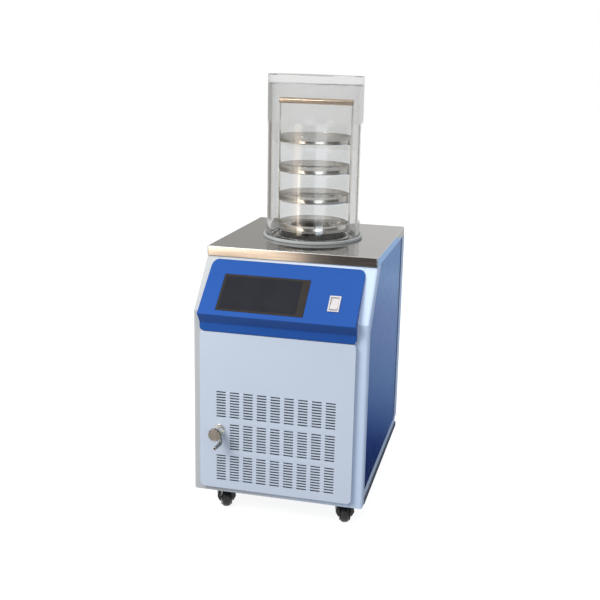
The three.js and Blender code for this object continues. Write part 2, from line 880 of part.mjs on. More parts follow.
// A bar along Y through the cold trap's side, used to cut the way of the vacuum pipe.
const portWay = (radius, y0, y1) =>
  turnedY([[0, y0], [radius, y0], [radius, y1], [0, y1]], 16).translate(0, 0, portZ);

// A drawn steel pot. Its flange is held under the steel top and its mouth is flush with it.
function trapPot() {
  const flangeTop = topZ - sheet - gap;
  const shape = turned(
    [
      [drainRadius, potFloorZ], [potOuter - potCorner, potFloorZ], [potOuter, potFloorZ + potCorner],
      [potOuter, flangeTop - potWall], [potOuter + potFlange, flangeTop - potWall],
      [potOuter + potFlange, flangeTop], [potOuter, flangeTop], [potOuter, topZ], [mouthRadius, topZ],
      [mouthRadius, potFloorZ + potCorner], [mouthRadius - potCorner + potWall / 2, potFloorZ + potWall],
      [drainRadius, potFloorZ + potWall], [drainRadius, potFloorZ],
    ],
    32,
  );
  return piece("cold_trap_pot", cut(shape, portWay(portBore, 0, 2 * potOuter)), steel);
}

// Refrigerant tube wound on the pot, below the vacuum port.
class Winding extends THREE.Curve {
  getPoint(t) {
    const angle = 2 * Math.PI * coilTurns * t;
    const z = THREE.MathUtils.lerp(coilFootZ, coilHeadZ, t);
    return new THREE.Vector3(coilRadius * Math.cos(angle), coilRadius * Math.sin(angle), z);
  }
}

function evaporatorCoil() {
  return piece("evaporator_coil", piped(new Winding(), coilTube, coilTurns * coilSteps, 5), copper);
}

// Foam jacket round the pot and its coil.
function trapInsulation() {
  const top = topZ - sheet - gap - potWall - gap;
  const shape = turned(
    [
      [drainRadius + 2, foamBase], [foamOuter, foamBase], [foamOuter, top], [foamInner, top],
      [foamInner, potFloorZ - gap], [drainRadius + 2, potFloorZ - gap], [drainRadius + 2, foamBase],
    ],
    32,
  );
  return piece("trap_insulation", cut(shape, portWay(portRadius + gap, 0, 2 * foamOuter)), foam);
}

// The vacuum pipe runs from the pot's side to a clamp flange behind the cabinet.
function vacuumPipe() {
  const face = rearReach + portReach;
  const rim = 3;
  const shape = turnedY(
    [
      [portBore, 0], [portRadius, 0], [portRadius, face - 3 * rim], [portFlange, face - rim],
      [portFlange, face], [portBore, face], [portBore, 0],
    ],
    24,
  ).translate(0, 0, portZ);
  const pot = cylinder(potOuter + gap, potFloorZ, topZ, 32);
  return piece("vacuum_pipe", cut(shape, pot), steel);
}

// The drain hose runs from the foot of the pot to the valve in the front panel.
function drainHose() {
  const low = foamBase - hoseRadius - 8;
  const turnY = -foamOuter - 10;
  const way = route(
    hoseBend, [0, 0, potFloorZ - gap], [0, 0, low], [0, turnY, low],
    [valveX, turnY, valveZ], [valveX, panelY + valveTail + gap, valveZ],
  );
  return piece("drain_hose", piped(way, hoseRadius, 24, 6, hoseBore), silicone);
}

// ---------------------------------------------------------------- refrigeration unit

const unitFloor = panFloorZ + gap;
const condenserFront = panelBackY + condenserBehindPanel;
const condenserRear = condenserFront + condenserDepth;
const shroudRear = condenserRear + gap + shroudDepth;
const fanZ = unitFloor + condenserFloor + condenserHeight / 2;

// A block of upright fins between two end plates, on a foot.
function condenser() {
  const pitch = condenserWidth / finCount;
  const groove = 12;
  const front = [];
  const rear = [];
  for (let fin = 0; fin < finCount; fin++) {
    const x = condenserX - condenserWidth / 2 + fin * pitch;
    const next = x + pitch;
    front.push([x, condenserFront], [x + pitch / 2, condenserFront]);
    rear.unshift([x + pitch / 2, condenserRear], [x, condenserRear]);
    if (fin === finCount - 1) continue;
    front.push([x + pitch / 2, condenserFront + groove], [next, condenserFront + groove]);
    rear.unshift([next, condenserRear - groove], [x + pitch / 2, condenserRear - groove]);
  }
  const block = extruded(vectors(...front, ...rear), condenserHeight);
  const foot = box(
    condenserX - condenserWidth / 2, condenserX + condenserWidth / 2 - pitch / 2,
    condenserFront + groove, condenserRear - groove, -condenserFloor, 1,
  );
  const made = piece("condenser", joined(block, foot), blackEnamel);
  made.position.z = unitFloor + condenserFloor;
  return made;
}

// A duct plate on the back of the condenser, with a round way for the fan.
function fanShroud() {
  const half = condenserHeight / 2 - 2;
  const duct = fanRadius + fanTipGap;
  const way = circle(duct, 32);
  const plate = pierced(rectangle(-half, half, -half, half), 0, sheet, [way]);
  const tube = pierced(circle(duct + sheet, 32), 0, shroudDepth, [way]);
  const foot = box(-half, half, 0, sheet, -condenserHeight / 2 - condenserFloor, -half + 1);
  const made = piece("fan_shroud", joined(plate, tube, foot), blackEnamel);
  made.position.set(condenserX, condenserRear + gap, fanZ);
  return made;
}

// Hub and pitched blades, drawn round the fan's axis with the hub's middle at the origin.
function fanBlades() {
  const hubDepth = 18;
  const hub = turnedY(
    [[0, -hubDepth / 2], [hubRadius, -hubDepth / 2], [hubRadius, hubDepth / 2], [0, hubDepth / 2]],
    20,
  );
  const root = hubRadius - 4;
  const outline = vectors(
    [-9, root], [9, root], [20, 0.62 * fanRadius], [17, fanRadius - 4], [0, fanRadius],
    [-17, fanRadius - 3], [-14, 0.55 * fanRadius],
  );
  const blades = Array.from({ length: bladeCount }, (_, k) =>
    alongY(outline, -0.8, 0.8)
      .rotateZ(THREE.MathUtils.degToRad(bladePitch))
      .rotateY((2 * Math.PI * k) / bladeCount),
  );
  const made = piece("fan_blades", joined(hub, ...blades), blackNylon);
  made.position.set(condenserX, condenserRear + gap + shroudDepth / 2, fanZ);
  return made;
}

// The motor hangs behind the blades on a bar across the shroud's duct.
function fanMotor() {
  const start = shroudRear + gap + 3;
  const reach = fanRadius + fanTipGap + sheet;
  const motor = turnedY(
    [
      [0, start], [motorRadius, start], [motorRadius, start + motorLength - 6],
      [motorRadius - 6, start + motorLength], [0, start + motorLength],
    ],
    20,
  );
  const bar = box(-reach, reach, shroudRear + gap, shroudRear + gap + 4, -6, 6);
  const made = piece("fan_motor", joined(motor, bar), blackEnamel);
  made.position.set(condenserX, 0, fanZ);
  return made;
}

// A welded hermetic compressor on its foot plate.
function compressor() {
  const r = compressorRadius;
  const h = compressorHeight;
  const foot = 16;
  const can = turned(
    [
      [0, foot], [r - 14, foot], [r - 4, foot + 8], [r, foot + 24], [r, 0.55 * h], [r - 3, 0.7 * h],
      [r - 14, 0.85 * h], [r - 36, 0.96 * h], [0, h],
    ],
    20,
  );
  const seam = turned(ring(r - 4, r + 4, 0.5 * h, 0.5 * h + 4), 20);
  const plate = box(-r - 12, r + 12, -r + 14, r - 14, 8, 8 + 4);
  const bridge = box(-r / 2, r / 2, -r / 2, r / 2, 8, foot + 4);
  const leg = (x, y) => cylinder(9, 0, 9, 10).translate(x, y, 0);
  const legs = [[-1, -1], [1, -1], [1, 1], [-1, 1]].map(([x, y]) => leg(x * (r - 2), y * (r - 28)));
  const terminals = box(-22, 22, -r - 22, -r + 8, 0.34 * h, 0.62 * h);
  const stubs = [-34, 34].map((x) => cylinder(4, 0.8 * h, h + 18, 8).translate(x, 10, 0));
  const made = piece("compressor", joined(can, seam, plate, bridge, ...legs, terminals, ...stubs), blackEnamel);
  made.position.set(condenserX, compressorY, unitFloor);
  return made;
}

// Mains inlet in the rear cover, with its three pin slots.
function powerInlet() {
  const flange = 5;
  const x0 = inletX - inletWidth / 2;
  const x1 = inletX + inletWidth / 2;
  const z0 = underside + inletZ;
  const z1 = z0 + inletHeight;
  const outer = joined(
    box(x0 - flange, x1 + flange, rearReach + gap, rearReach + gap + 3, z0 - flange, z1 + flange),
    box(x0 + gap, x1 - gap, rearReach - 24, rearReach + 2, z0 + gap, z1 - gap),
  );
  const mouth = box(x0 + 3, x1 - 3, rearReach - 14, rearReach + 5, z0 + 3, z1 - 3);
  const pin = (x) => box(inletX + x - 1, inletX + x + 1, rearReach - 16, rearReach - 2, z0 + 9, z0 + 15);
  return piece("power_inlet", joined(cut(outer, mouth), pin(-7), pin(0), pin(7)), blackNylon);
}

// ---------------------------------------------------------------- casters

// A wheel about the X axis, with a crowned tread and a hub that stands out on both sides.
function casterWheel() {
  const half = (distance) => [
    [wheelBore, hubWidth / 2], [wheelHub, hubWidth / 2], [wheelHub + 2, wheelWidth / 2],
    [wheelRadius - wheelCrown, wheelWidth / 2], [wheelRadius - 0.3 * wheelCrown, 0.75 * (wheelWidth / 2)],
    [wheelRadius, 0.35 * (wheelWidth / 2)],
  ].map(([radius, x]) => [radius, distance * x]);
  const profile = [...half(-1), ...half(1).reverse(), half(-1)[0]];
  return turnedX(profile, 24);
}

// A moulded fork, seen from the front as a barrel with a slot for the wheel, and from the side as
// two legs that run back from the swivel to the axle.
function casterFork(swivelTop) {
  const crown = 2 * wheelRadius + forkClearance + forkWall;
  const frontView = rounded(
    vectors(
      [-forkToe, forkFoot], [forkToe, forkFoot], [forkShoulder, shoulderHeight],
      [forkHead, crown], [-forkHead, crown], [-forkShoulder, shoulderHeight],
    ),
    [0, 0, shoulderRound, 0, 0, shoulderRound],
  );
  const sideView = rounded(
    vectors(
      [trail - legHalf, forkFoot], [trail + legHalf, forkFoot], [trail + legHalf + 3, wheelRadius + 14],
      [swivelRadius + 8, crown], [-swivelRadius - 2, crown], [-swivelRadius, wheelRadius + 14],
    ),
    [legHalf - 1, legHalf - 1, 6, 0, 0, 10],
  );
  const reach = 2 * (trail + wheelRadius);
  const moulded = common(
    alongY(frontView, -reach, reach),
    acrossX(sideView, -2 * forkShoulder, 2 * forkShoulder),
  );
  const raceway = cylinder(swivelRadius + 4, crown - forkWall / 2, swivelTop, 24);
  return cut(
    joined(moulded, raceway),
    box(-forkSlot / 2, forkSlot / 2, -reach, reach, -1, crown - forkWall),
    drum(axleRadius + gap, 2 * forkShoulder),
  );
}

// A cylinder along the axle, its half length to each side.
function drum(radius, half) {
  return turnedX([[0, -half], [radius, -half], [radius, half], [0, half]], 16)
    .translate(0, trail, wheelRadius);
}

// A swivel caster. The plate bolts to the cabinet, and the fork turns under it with the wheel,
// whose axle stands back from the swivel.
function caster(corner, x, y) {
  const plateTop = casterHeight - gap;
  const plateFoot = plateTop - casterPlateThickness;
  const neckFoot = plateFoot - swivelNeck;
  const half = casterPlateSize / 2;
  const plate = joined(
    box(-half, half, -half, half, plateFoot, plateTop),
    cylinder(swivelRadius, neckFoot, plateFoot + 1, 16),
  );
  const wheel = piece("caster_wheel_" + corner, casterWheel(), blackNylon);
  wheel.position.set(0, trail, wheelRadius);
  const turning = group(
    piece("caster_fork_" + corner, casterFork(neckFoot - gap), blackNylon),
    piece("caster_axle_" + corner, drum(axleRadius, forkShoulder - forkWall), zinc),
    wheel,
  );
  turning.rotation.z = THREE.MathUtils.degToRad(casterTurns[corner]);
  const made = group(piece("caster_plate_" + corner, plate, zinc), turning);
  made.position.set(x, y, 0);
  return made;
}

function casters() {
  const x = halfCabinet - casterSideInset;
  const front = frontY + casterFrontInset;
  const rear = rearReach - casterRearInset;
  return group(
    caster("front_left", -x, front),
    caster("front_right", x, front),
    caster("rear_left", -x, rear),
    caster("rear_right", x, rear),
  );
}

// ---------------------------------------------------------------- assembly

const freezeDryer = group(
  basePan(),
  baseSkid(),
  frontPost("front_post_left", -1),
  frontPost("front_post_right", 1),
  frontTopRail(),
  sidePanel("side_panel_left", -1),
  sidePanel("side_panel_right", 1),
  rearCover(),
  topPlate(),
  frontPanel(),
  consoleFascia(),
  consoleFittings(),
  drainValve(),
  dryingChamber(),
  trapPot(),
  evaporatorCoil(),
  trapInsulation(),
  vacuumPipe(),
  drainHose(),
  condenser(),
  fanShroud(),
  fanBlades(),
  fanMotor(),
  compressor(),
  powerInlet(),
  casters(),
);

// The origin is on the floor, midway between the valve's front and the vacuum port's flange.
freezeDryer.updateMatrixWorld(true);
const reach = new THREE.Box3().setFromObject(freezeDryer, true);
freezeDryer.position.y = -(reach.min.y + reach.max.y) / 2;

export default freezeDryer;
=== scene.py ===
"""The looks of the freeze dryer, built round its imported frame. Metres, +Z up, front towards -Y."""
import json
import math

import bmesh
import bpy
from mathutils import Matrix, Vector


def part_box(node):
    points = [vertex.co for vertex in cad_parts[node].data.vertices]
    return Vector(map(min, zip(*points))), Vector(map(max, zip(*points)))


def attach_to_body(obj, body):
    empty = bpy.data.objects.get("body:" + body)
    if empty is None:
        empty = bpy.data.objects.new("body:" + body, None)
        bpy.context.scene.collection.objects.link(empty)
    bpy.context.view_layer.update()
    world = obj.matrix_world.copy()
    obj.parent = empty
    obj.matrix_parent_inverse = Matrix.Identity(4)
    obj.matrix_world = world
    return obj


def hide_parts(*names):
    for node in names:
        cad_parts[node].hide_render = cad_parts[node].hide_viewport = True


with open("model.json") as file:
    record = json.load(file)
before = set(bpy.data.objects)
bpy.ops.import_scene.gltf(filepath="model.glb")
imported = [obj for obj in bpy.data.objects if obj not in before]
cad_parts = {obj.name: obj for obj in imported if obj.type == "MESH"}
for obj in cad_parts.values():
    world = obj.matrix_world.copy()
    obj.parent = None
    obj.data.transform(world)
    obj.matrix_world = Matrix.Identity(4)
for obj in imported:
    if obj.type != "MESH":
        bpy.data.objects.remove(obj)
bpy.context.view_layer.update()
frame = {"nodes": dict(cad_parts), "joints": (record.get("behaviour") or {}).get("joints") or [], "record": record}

MM = 0.001
NODES = frame["nodes"]
JOINTS = {joint["name"]: joint for joint in frame["joints"]}
SLOT_OF = {part["node"]: part["material_slot"] for part in frame["record"]["subparts"]}
BODY_OF = {
    node: body for body, nodes in frame["record"]["behaviour"]["bodies"].items() for node in nodes
}
CORNERS = ("front_left", "front_right", "rear_left", "rear_right")

# ---------------------------------------------------------------- places read from the frame


def middle(node):
    low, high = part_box(node)
    return (low + high) / 2


AXIS = Vector((middle("chamber_tube").x, middle("chamber_tube").y, 0))
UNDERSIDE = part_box("front_post_left")[0].z

# ---------------------------------------------------------------- camera

CAMERA_TURN = (11.68, 12.99, 1.76)  # yaw, pitch and roll, in degrees
CAMERA_PLACE = (0.5743, -2.3676, 1.1096)  # from the chamber's axis and the cabinet's underside
CAMERA_LENS = 53.01
CAMERA_SHIFT = (-0.0693, -0.0542)


def make_camera():
    """The photograph's view."""
    yaw, pitch, roll = (math.radians(angle) for angle in CAMERA_TURN)
    forward = Vector(
        (-math.sin(yaw) * math.cos(pitch), math.cos(yaw) * math.cos(pitch), -math.sin(pitch))
    )
    level = Vector((math.cos(yaw), math.sin(yaw), 0))
    raised = level.cross(forward)
    right = math.cos(roll) * level + math.sin(roll) * raised
    up = -math.sin(roll) * level + math.cos(roll) * raised
    data = bpy.data.cameras.new("camera")
    data.sensor_width = 36
    data.lens = CAMERA_LENS
    data.shift_x, data.shift_y = CAMERA_SHIFT
    data.clip_start, data.clip_end = 0.05, 100
    camera = bpy.data.objects.new("camera", data)
    bpy.context.scene.collection.objects.link(camera)
    turn = Matrix((right, up, -forward)).transposed()
    stand = AXIS + Vector((0, 0, UNDERSIDE)) + Vector(CAMERA_PLACE)
    camera.matrix_world = Matrix.Translation(stand) @ turn.to_4x4()
    bpy.context.scene.camera = camera


# ---------------------------------------------------------------- materials


def srgb(*levels):
    """A colour given as red, green and blue screen values from 0 to 255, for a shader socket."""
    shares = (level / 255 for level in levels)
    return (*(share / 12.92 if share <= 0.04045 else ((share + 0.055) / 1.055) ** 2.4 for share in shares), 1)


class Tree:
    """A node tree, whose nodes take plain values or the outputs of other nodes."""

    def __init__(self, owner, out="ShaderNodeOutputMaterial"):
        owner.use_nodes = True
        self.tree = owner.node_tree
        self.tree.nodes.clear()
        self.out = self.node(out)
        self.object_place = None

    def node(self, kind, values=None, **settings):
        node = self.tree.nodes.new(kind)
        for key, value in settings.items():
            setattr(node, key, value)
        self.set(node, values or {})
        return node

    def set(self, node, values):
        for key, value in values.items():
            socket = node.inputs[key.replace("_", " ") if isinstance(key, str) else key]
            if isinstance(value, bpy.types.NodeSocket):
                self.tree.links.new(value, socket)
            else:
                socket.default_value = value

    def where(self, stretch=(1, 1, 1), turn=(0, 0, 0)):
        """The surface's place in the object, stretched and turned."""
        if self.object_place is None:
            self.object_place = self.node("ShaderNodeTexCoord").outputs["Object"]
        values = {"Vector": self.object_place, "Scale": stretch, "Rotation": turn}
        return self.node("ShaderNodeMapping", values).outputs[0]

    def noise(self, scale, detail=2.0, stretch=(1, 1, 1), roughness=0.5, turn=(0, 0, 0)):
        values = {"Scale": scale, "Detail": detail, "Roughness": roughness}
        values["Vector"] = self.where(stretch, turn)
        return self.node("ShaderNodeTexNoise", values).outputs["Fac"]

    def ramp(self, factor, *stops):
        """Colours along a factor: each stop is a place from 0 to 1 and a colour."""
        ramp = self.node("ShaderNodeValToRGB", {"Fac": factor})
        elements = ramp.color_ramp.elements
        while len(elements) < len(stops):
            elements.new(0.5)
        for element, (position, color) in zip(elements, stops):
            element.position = position
            element.color = color
        return ramp.outputs["Color"]

    def spread(self, factor, low, high, start=0.3, end=0.7):
        """A factor from start to end carried over to the range low to high."""
        values = {"Value": factor, "From Min": start, "From Max": end, "To Min": low, "To Max": high}
        return self.node("ShaderNodeMapRange", values).outputs[0]

    def bump(self, height, strength, distance):
        values = {"Height": height, "Strength": strength, "Distance": distance}
        return self.node("ShaderNodeBump", values).outputs[0]

    def math(self, operation, *values):
        return self.node("ShaderNodeMath", dict(enumerate(values)), operation=operation).outputs[0]

    def mix(self, factor, first, second):
        """The first shader where the factor is 0, and the second where it is 1."""
        return self.node("ShaderNodeMixShader", {0: factor, 1: first, 2: second}).outputs[0]

    def seen(self):
        """1 for rays that see the surroundings themselves: from the camera, a mirror or through glass."""
        path = self.node("ShaderNodeLightPath").outputs
        either = self.math("MAXIMUM", path["Is Camera Ray"], path["Is Transmission Ray"])
        return self.math("MAXIMUM", either, path["Is Glossy Ray"])


class Shader(Tree):
    """A material with one Principled node."""

    def __init__(self, name, **values):
        self.material = bpy.data.materials.new(name)
        super().__init__(self.material)
        self.main = self.node("ShaderNodeBsdfPrincipled", values)
        self.set(self.out, {"Surface": self.main.outputs[0]})

    def finish(self, **values):
        self.set(self.main, values)
        return self.material


def paint(name, dark, light, roughness=(0.42, 0.5), gloss=0.2, peel=0.02):
    """Powder coat: a faint drift of colour, a fine orange peel and a soft sheen."""
    shader = Shader(name, Specular_IOR_Level=gloss)
    drift = shader.noise(3.5, 4)
    return shader.finish(
        Base_Color=shader.ramp(drift, (0.3, dark), (0.7, light)),
        Roughness=shader.spread(shader.noise(45, 3), *roughness),
        Normal=shader.bump(shader.noise(500, 2), peel, 0.0002),
    )


POST_SPREAD = 0.24  # how far to each side of the chamber's axis the posts' white changes into painted shade and a painted reflection


def post_paint_with_painted_light(name):
    """White powder coat, greyed by painted shade on the left of the cabinet and blued by a painted reflection on
    the right.
    """
    shader = Shader(name, Specular_IOR_Level=0.25)
    across = shader.node("ShaderNodeSeparateXYZ", {0: shader.where()}).outputs[0]
    drift = shader.math("MULTIPLY_ADD", shader.noise(4, 3), 0.05, -0.025)
    side = shader.math("ADD", across, drift)
    left, right = AXIS.x - POST_SPREAD, AXIS.x + POST_SPREAD
    # The left stop is a darker grey of painted shade, the right stop a painted blue reflection, and the middle
    # stop the paint's own white.
    painted_shade_left, white, cool = srgb(197, 197, 194), srgb(212, 217, 224), srgb(208, 224, 243)
    return shader.finish(
        Base_Color=shader.ramp(
            shader.spread(side, 0, 1, left, right), (0.04, painted_shade_left), (0.5, white), (0.95, cool)
        ),
        Roughness=shader.spread(shader.noise(45, 3), 0.36, 0.46),
        Normal=shader.bump(shader.noise(500, 2), 0.02, 0.0002),
    )


def metal(name, dark, light, roughness, scale=60, stretch=(1, 1, 1), bump=0.05, grain=2.0, turn=(0, 0, 0)):
    """Bare metal whose colour, polish and fine lines follow one stretched noise."""
    shader = Shader(name, Metallic=1.0)
    lines = shader.noise(scale, grain, stretch, 0.6, turn)
    return shader.finish(
        Base_Color=shader.ramp(lines, (0.3, dark), (0.7, light)),
        Roughness=shader.spread(shader.noise(scale * 0.6, 3, stretch, 0.5, turn), *roughness),
        Normal=shader.bump(lines, bump, 0.0002),
    )


def moulding(name, dark, light, roughness=(0.4, 0.55), grain=700, bump=0.12):
    """Moulded plastic or rubber with a fine spark-eroded grain."""
    shader = Shader(name)
    return shader.finish(
        Base_Color=shader.ramp(shader.noise(24, 3), (0.3, dark), (0.7, light)),
        Roughness=shader.spread(shader.noise(90, 2), *roughness),
        Normal=shader.bump(shader.noise(grain, 2), bump, 0.0003),
    )


def acrylic(name, dark, light):
    """Clear cast acrylic. Rays from lamps go straight through, so that what is inside is lit."""
    shader = Shader(name, Transmission_Weight=1.0, IOR=1.49, Roughness=0.0)
    shader.finish(Base_Color=shader.ramp(shader.noise(5, 2), (0.3, dark), (0.7, light)))
    shadow = shader.node("ShaderNodeLightPath").outputs["Is Shadow Ray"]
    through = shader.node("ShaderNodeBsdfTransparent", {"Color": (0.93, 0.94, 0.94, 1)})
    surface = shader.mix(shadow, shader.main.outputs[0], through.outputs[0])
    shader.set(shader.out, {"Surface": surface})
    return shader.material


def glossy_window(name, dark, light):
    """Dark glass, polished with a slight haze."""
    shader = Shader(name, Specular_IOR_Level=0.15)
    return shader.finish(
        Base_Color=shader.ramp(shader.noise(14, 2), (0.3, dark), (0.7, light)),
        Roughness=shader.spread(shader.noise(40, 2), 0.1, 0.18),
    )


def circuit_board(name):
    """Green lacquer over small parts."""
    shader = Shader(name)
    cells = shader.node("ShaderNodeTexVoronoi", {"Vector": shader.where(), "Scale": 160})
    parts = cells.outputs["Distance"]
    return shader.finish(
        Base_Color=shader.ramp(parts, (0.1, srgb(34, 74, 52)), (0.5, srgb(44, 92, 62))),
        Roughness=shader.spread(shader.noise(60), 0.4, 0.6),
        Normal=shader.bump(parts, 0.3, 0.0005),
    )


BRUSHED_X = (0.03, 1, 1)  # a stretch for lines along X
MATERIALS = {  # by the record's material slots
    "white_paint": post_paint_with_painted_light("white_paint"),
    "panel_paint": paint("panel_paint", srgb(206, 215, 227), srgb(211, 219, 231)),
    "dark_paint": paint("dark_paint", srgb(78, 82, 92), srgb(90, 94, 104)),
    "blue_paint": paint("blue_paint", srgb(36, 60, 124), srgb(41, 67, 134), (0.16, 0.22), 0.5, 0.01),
    "blue_fascia": paint("blue_fascia", srgb(36, 82, 156), srgb(40, 88, 164), (0.34, 0.42), 0.12),
    "steel": metal("steel", srgb(214, 212, 208), srgb(226, 224, 221), (0.04, 0.08), 90, (1, 1, 0.05)),
    "chrome": metal("chrome", srgb(196, 196, 194), srgb(214, 214, 212), (0.05, 0.10)),
    "zinc": metal("zinc", srgb(150, 148, 144), srgb(168, 166, 160), (0.24, 0.36)),
    "clear_acrylic": acrylic("clear_acrylic", (0.77, 0.775, 0.77, 1), (0.80, 0.805, 0.80, 1)),
    "silicone": moulding("silicone", srgb(158, 160, 158), srgb(172, 174, 172), (0.35, 0.5)),
    "window": glossy_window("window", srgb(50, 46, 42), srgb(57, 52, 47)),
    "pale_plastic": moulding("pale_plastic", srgb(206, 200, 198), srgb(216, 210, 207), (0.3, 0.4)),
    "black_nylon": moulding("black_nylon", srgb(13, 13, 15), srgb(21, 21, 24), (0.32, 0.48)),
    "black_enamel": paint("black_enamel", srgb(26, 27, 30), srgb(36, 37, 40)),
    "copper": metal("copper", srgb(176, 108, 62), srgb(198, 128, 80), (0.22, 0.36)),
    "foam": moulding("foam", srgb(34, 34, 37), srgb(48, 48, 52), (0.85, 0.95), 320, 0.5),
    "board": circuit_board("board"),
}

# Finishes of single pieces that differ from their slot's.
TOP_STEEL = metal(
    "brushed_top", srgb(172, 169, 166), srgb(186, 184, 181), (0.05, 0.10), 420, BRUSHED_X, 0.05, 3.0
)
KNOB_METAL = metal(
    "brushed_knob", srgb(116, 108, 98), srgb(146, 138, 126), (0.16, 0.28), 500, (1, 1, 0.04), 0.1
)
SCREEN = glossy_window("screen", srgb(33, 34, 38), srgb(39, 40, 45))
OUTLET_METAL = metal("outlet_metal", srgb(150, 152, 146), srgb(176, 178, 172), (0.14, 0.24))
POT_STEEL = metal("pot_steel", srgb(206, 206, 204), srgb(220, 220, 218), (0.22, 0.34))
# The rack's bar: steel whose colour is tinted peach-brown as a painted warm reflection.
BAR_WARM_PAINTED_REFLECTION = metal("bar_warm_painted_reflection", srgb(172, 151, 130), srgb(190, 169, 148), (0.1, 0.18), 60, (0.05, 1, 1))
# The louvres' pressed lips: the panel's metal, coloured dark grey as painted shade inside the slots.
LOUVRE_PAINTED_SHADE = paint("louvre_painted_shade", srgb(70, 74, 86), srgb(80, 84, 96))

# ---------------------------------------------------------------- building


def mesh_object(name, bm, smooth=35):
    """An object from a bmesh, smooth except over edges sharper than the given degrees."""
    mesh = bpy.data.meshes.new(name)
    bm.to_mesh(mesh)
    bm.free()
    for polygon in mesh.polygons:
        polygon.use_smooth = True
    mesh.set_sharp_from_angle(angle=math.radians(smooth))
    obj = bpy.data.objects.new(name, mesh)
    bpy.context.scene.collection.objects.link(obj)
    return obj


def bevel(obj, width, segments):
    """Rounds edges over a width in millimetres, if there is one."""
    if width:
        modifier = obj.modifiers.new("edges", "BEVEL")
        modifier.width = width * MM
        modifier.segments = segments
        modifier.limit_method = "ANGLE"
        modifier.angle_limit = math.radians(30)
        modifier.harden_normals = True
    return obj


def flatten(obj):
    """Shading normals that follow the large flat faces, so that no gradient runs across them."""
    modifier = obj.modifiers.new("flat_faces", "WEIGHTED_NORMAL")
    modifier.weight = 100
    modifier.keep_sharp = True


def attach(obj, body, slot, material=None, replaces=()):
    """Gives a finished piece its material, its body and the CAD nodes that it stands for."""
    obj.data.materials.clear()
    obj.data.materials.append(material or MATERIALS[slot])
    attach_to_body(obj, body)
    if replaces:
        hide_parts(*replaces)
    return obj


def dress(node, width=0.8, segments=2, material=None, merge=True):
    """A CAD node's own shape with rounded edges. Flat faces crossed by many holes aren't merged."""
    bm = bmesh.new()
    bm.from_mesh(NODES[node].data)
    bmesh.ops.remove_doubles(bm, verts=bm.verts, dist=0.005 * MM)
    if merge:
        bmesh.ops.dissolve_limit(bm, angle_limit=math.radians(1), verts=bm.verts, edges=bm.edges)
    obj = bevel(mesh_object(node + "_dressed", bm), width, segments)
    flatten(obj)
    return attach(obj, BODY_OF[node], SLOT_OF[node], material, (node,))


def circle(sides):
    """Angles round a circle, in radians."""
    return [2 * math.pi * k / sides for k in range(sides)]


def join_rings(bm, low, high):
    """Faces between two rings of as many vertices, or from a ring to a ring of one."""
    for k in range(max(len(low), len(high))):
        j = (k + 1) % max(len(low), len(high))
        if len(low) == 1:
            bm.faces.new((low[0], high[j], high[k]))
        elif len(high) == 1:
            bm.faces.new((low[k], low[j], high[0]))
        else:
            bm.faces.new((low[k], low[j], high[j], high[k]))


def add_lathe(bm, profile, segments, matrix=Matrix.Identity(4), closed=False, flute=None):
    """
    Turns a profile of radius and height pairs, in millimetres, about Z. Ends on the axis close up.
    A flute gives how far the surface lies in from a radius at an angle.
    """
    rings = []
    for radius, height in profile:
        if radius < 1e-6:
            rings.append([bm.verts.new(matrix @ Vector((0, 0, height * MM)))])
            continue
        ring = []
        for angle in circle(segments):
            reach = (radius - (flute(radius, angle) if flute else 0)) * MM
            point = Vector((reach * math.cos(angle), reach * math.sin(angle), height * MM))
            ring.append(bm.verts.new(matrix @ point))
        rings.append(ring)
    pairs = list(zip(rings, rings[1:]))
    if closed:
        pairs.append((rings[-1], rings[0]))
    for low, high in pairs:
        join_rings(bm, low, high)


def add_prism(bm, points, depth, matrix=Matrix.Identity(4)):
    """An outline of X and Y pairs, in millimetres, carried up Z by depth."""
    low = [bm.verts.new(matrix @ Vector((x * MM, y * MM, 0))) for x, y in points]
    high = [bm.verts.new(matrix @ Vector((x * MM, y * MM, depth * MM))) for x, y in points]
    bm.faces.new(low[::-1])
    bm.faces.new(high)
    join_rings(bm, low, high)


def frame_at(origin, x, z):
    """A matrix with its X and Z along the given directions."""
    x, z = Vector(x).normalized(), Vector(z).normalized()
    return Matrix.Translation(origin) @ Matrix((x, z.cross(x), z)).transposed().to_4x4()


def finished(name, bm, body, slot, width=0, material=None, replaces=(), smooth=35):
    """A new piece from a bmesh, with its edges rounded over a width in millimetres."""
    bmesh.ops.recalc_face_normals(bm, faces=bm.faces)
    obj = bevel(mesh_object(name, bm, smooth), width, 2)
    return attach(obj, body, slot, material, replaces)


def arc(cx, cy, radius, start, end, steps):
    """Points on an arc from one angle to another, in degrees, as pairs."""
    angles = (math.radians(start + (end - start) * k / steps) for k in range(steps + 1))
    return [(cx + radius * math.cos(angle), cy + radius * math.sin(angle)) for angle in angles]


# ---------------------------------------------------------------- cabinet

# The front panel, as in the part's source, in millimetres. The louvres run from its left and top edges.
LOUVRE_COLUMNS, LOUVRE_ROWS, LOUVRE_SLOTS = 9, 3, 10
SLOT_WIDTH, SLOT_HEIGHT, SLOT_PITCH = 25, 3.6, 7.35
COLUMN_PITCH, ROW_PITCH = 36, 87.5
LOUVRE_LEFT, LOUVRE_TOP = 45, 157
PANEL_SHEET = 1.5
PANEL_CORNER, PANEL_FOLD = 9, 1.6
PANEL_CORNER_STEPS = 6
LIP_PROFILE = (  # how far back and how high, from a slot's foot
    (0.4, -0.3), (1.6, -0.1), (3.2, 0.9), (4.5, 2.3), (5.2, 4.0),
    (6.0, 4.0), (5.2, 1.8), (3.7, 0.1), (1.6, -0.9),
)
SCREW_SIDE_INSET, SCREW_END_INSET = 14, 20


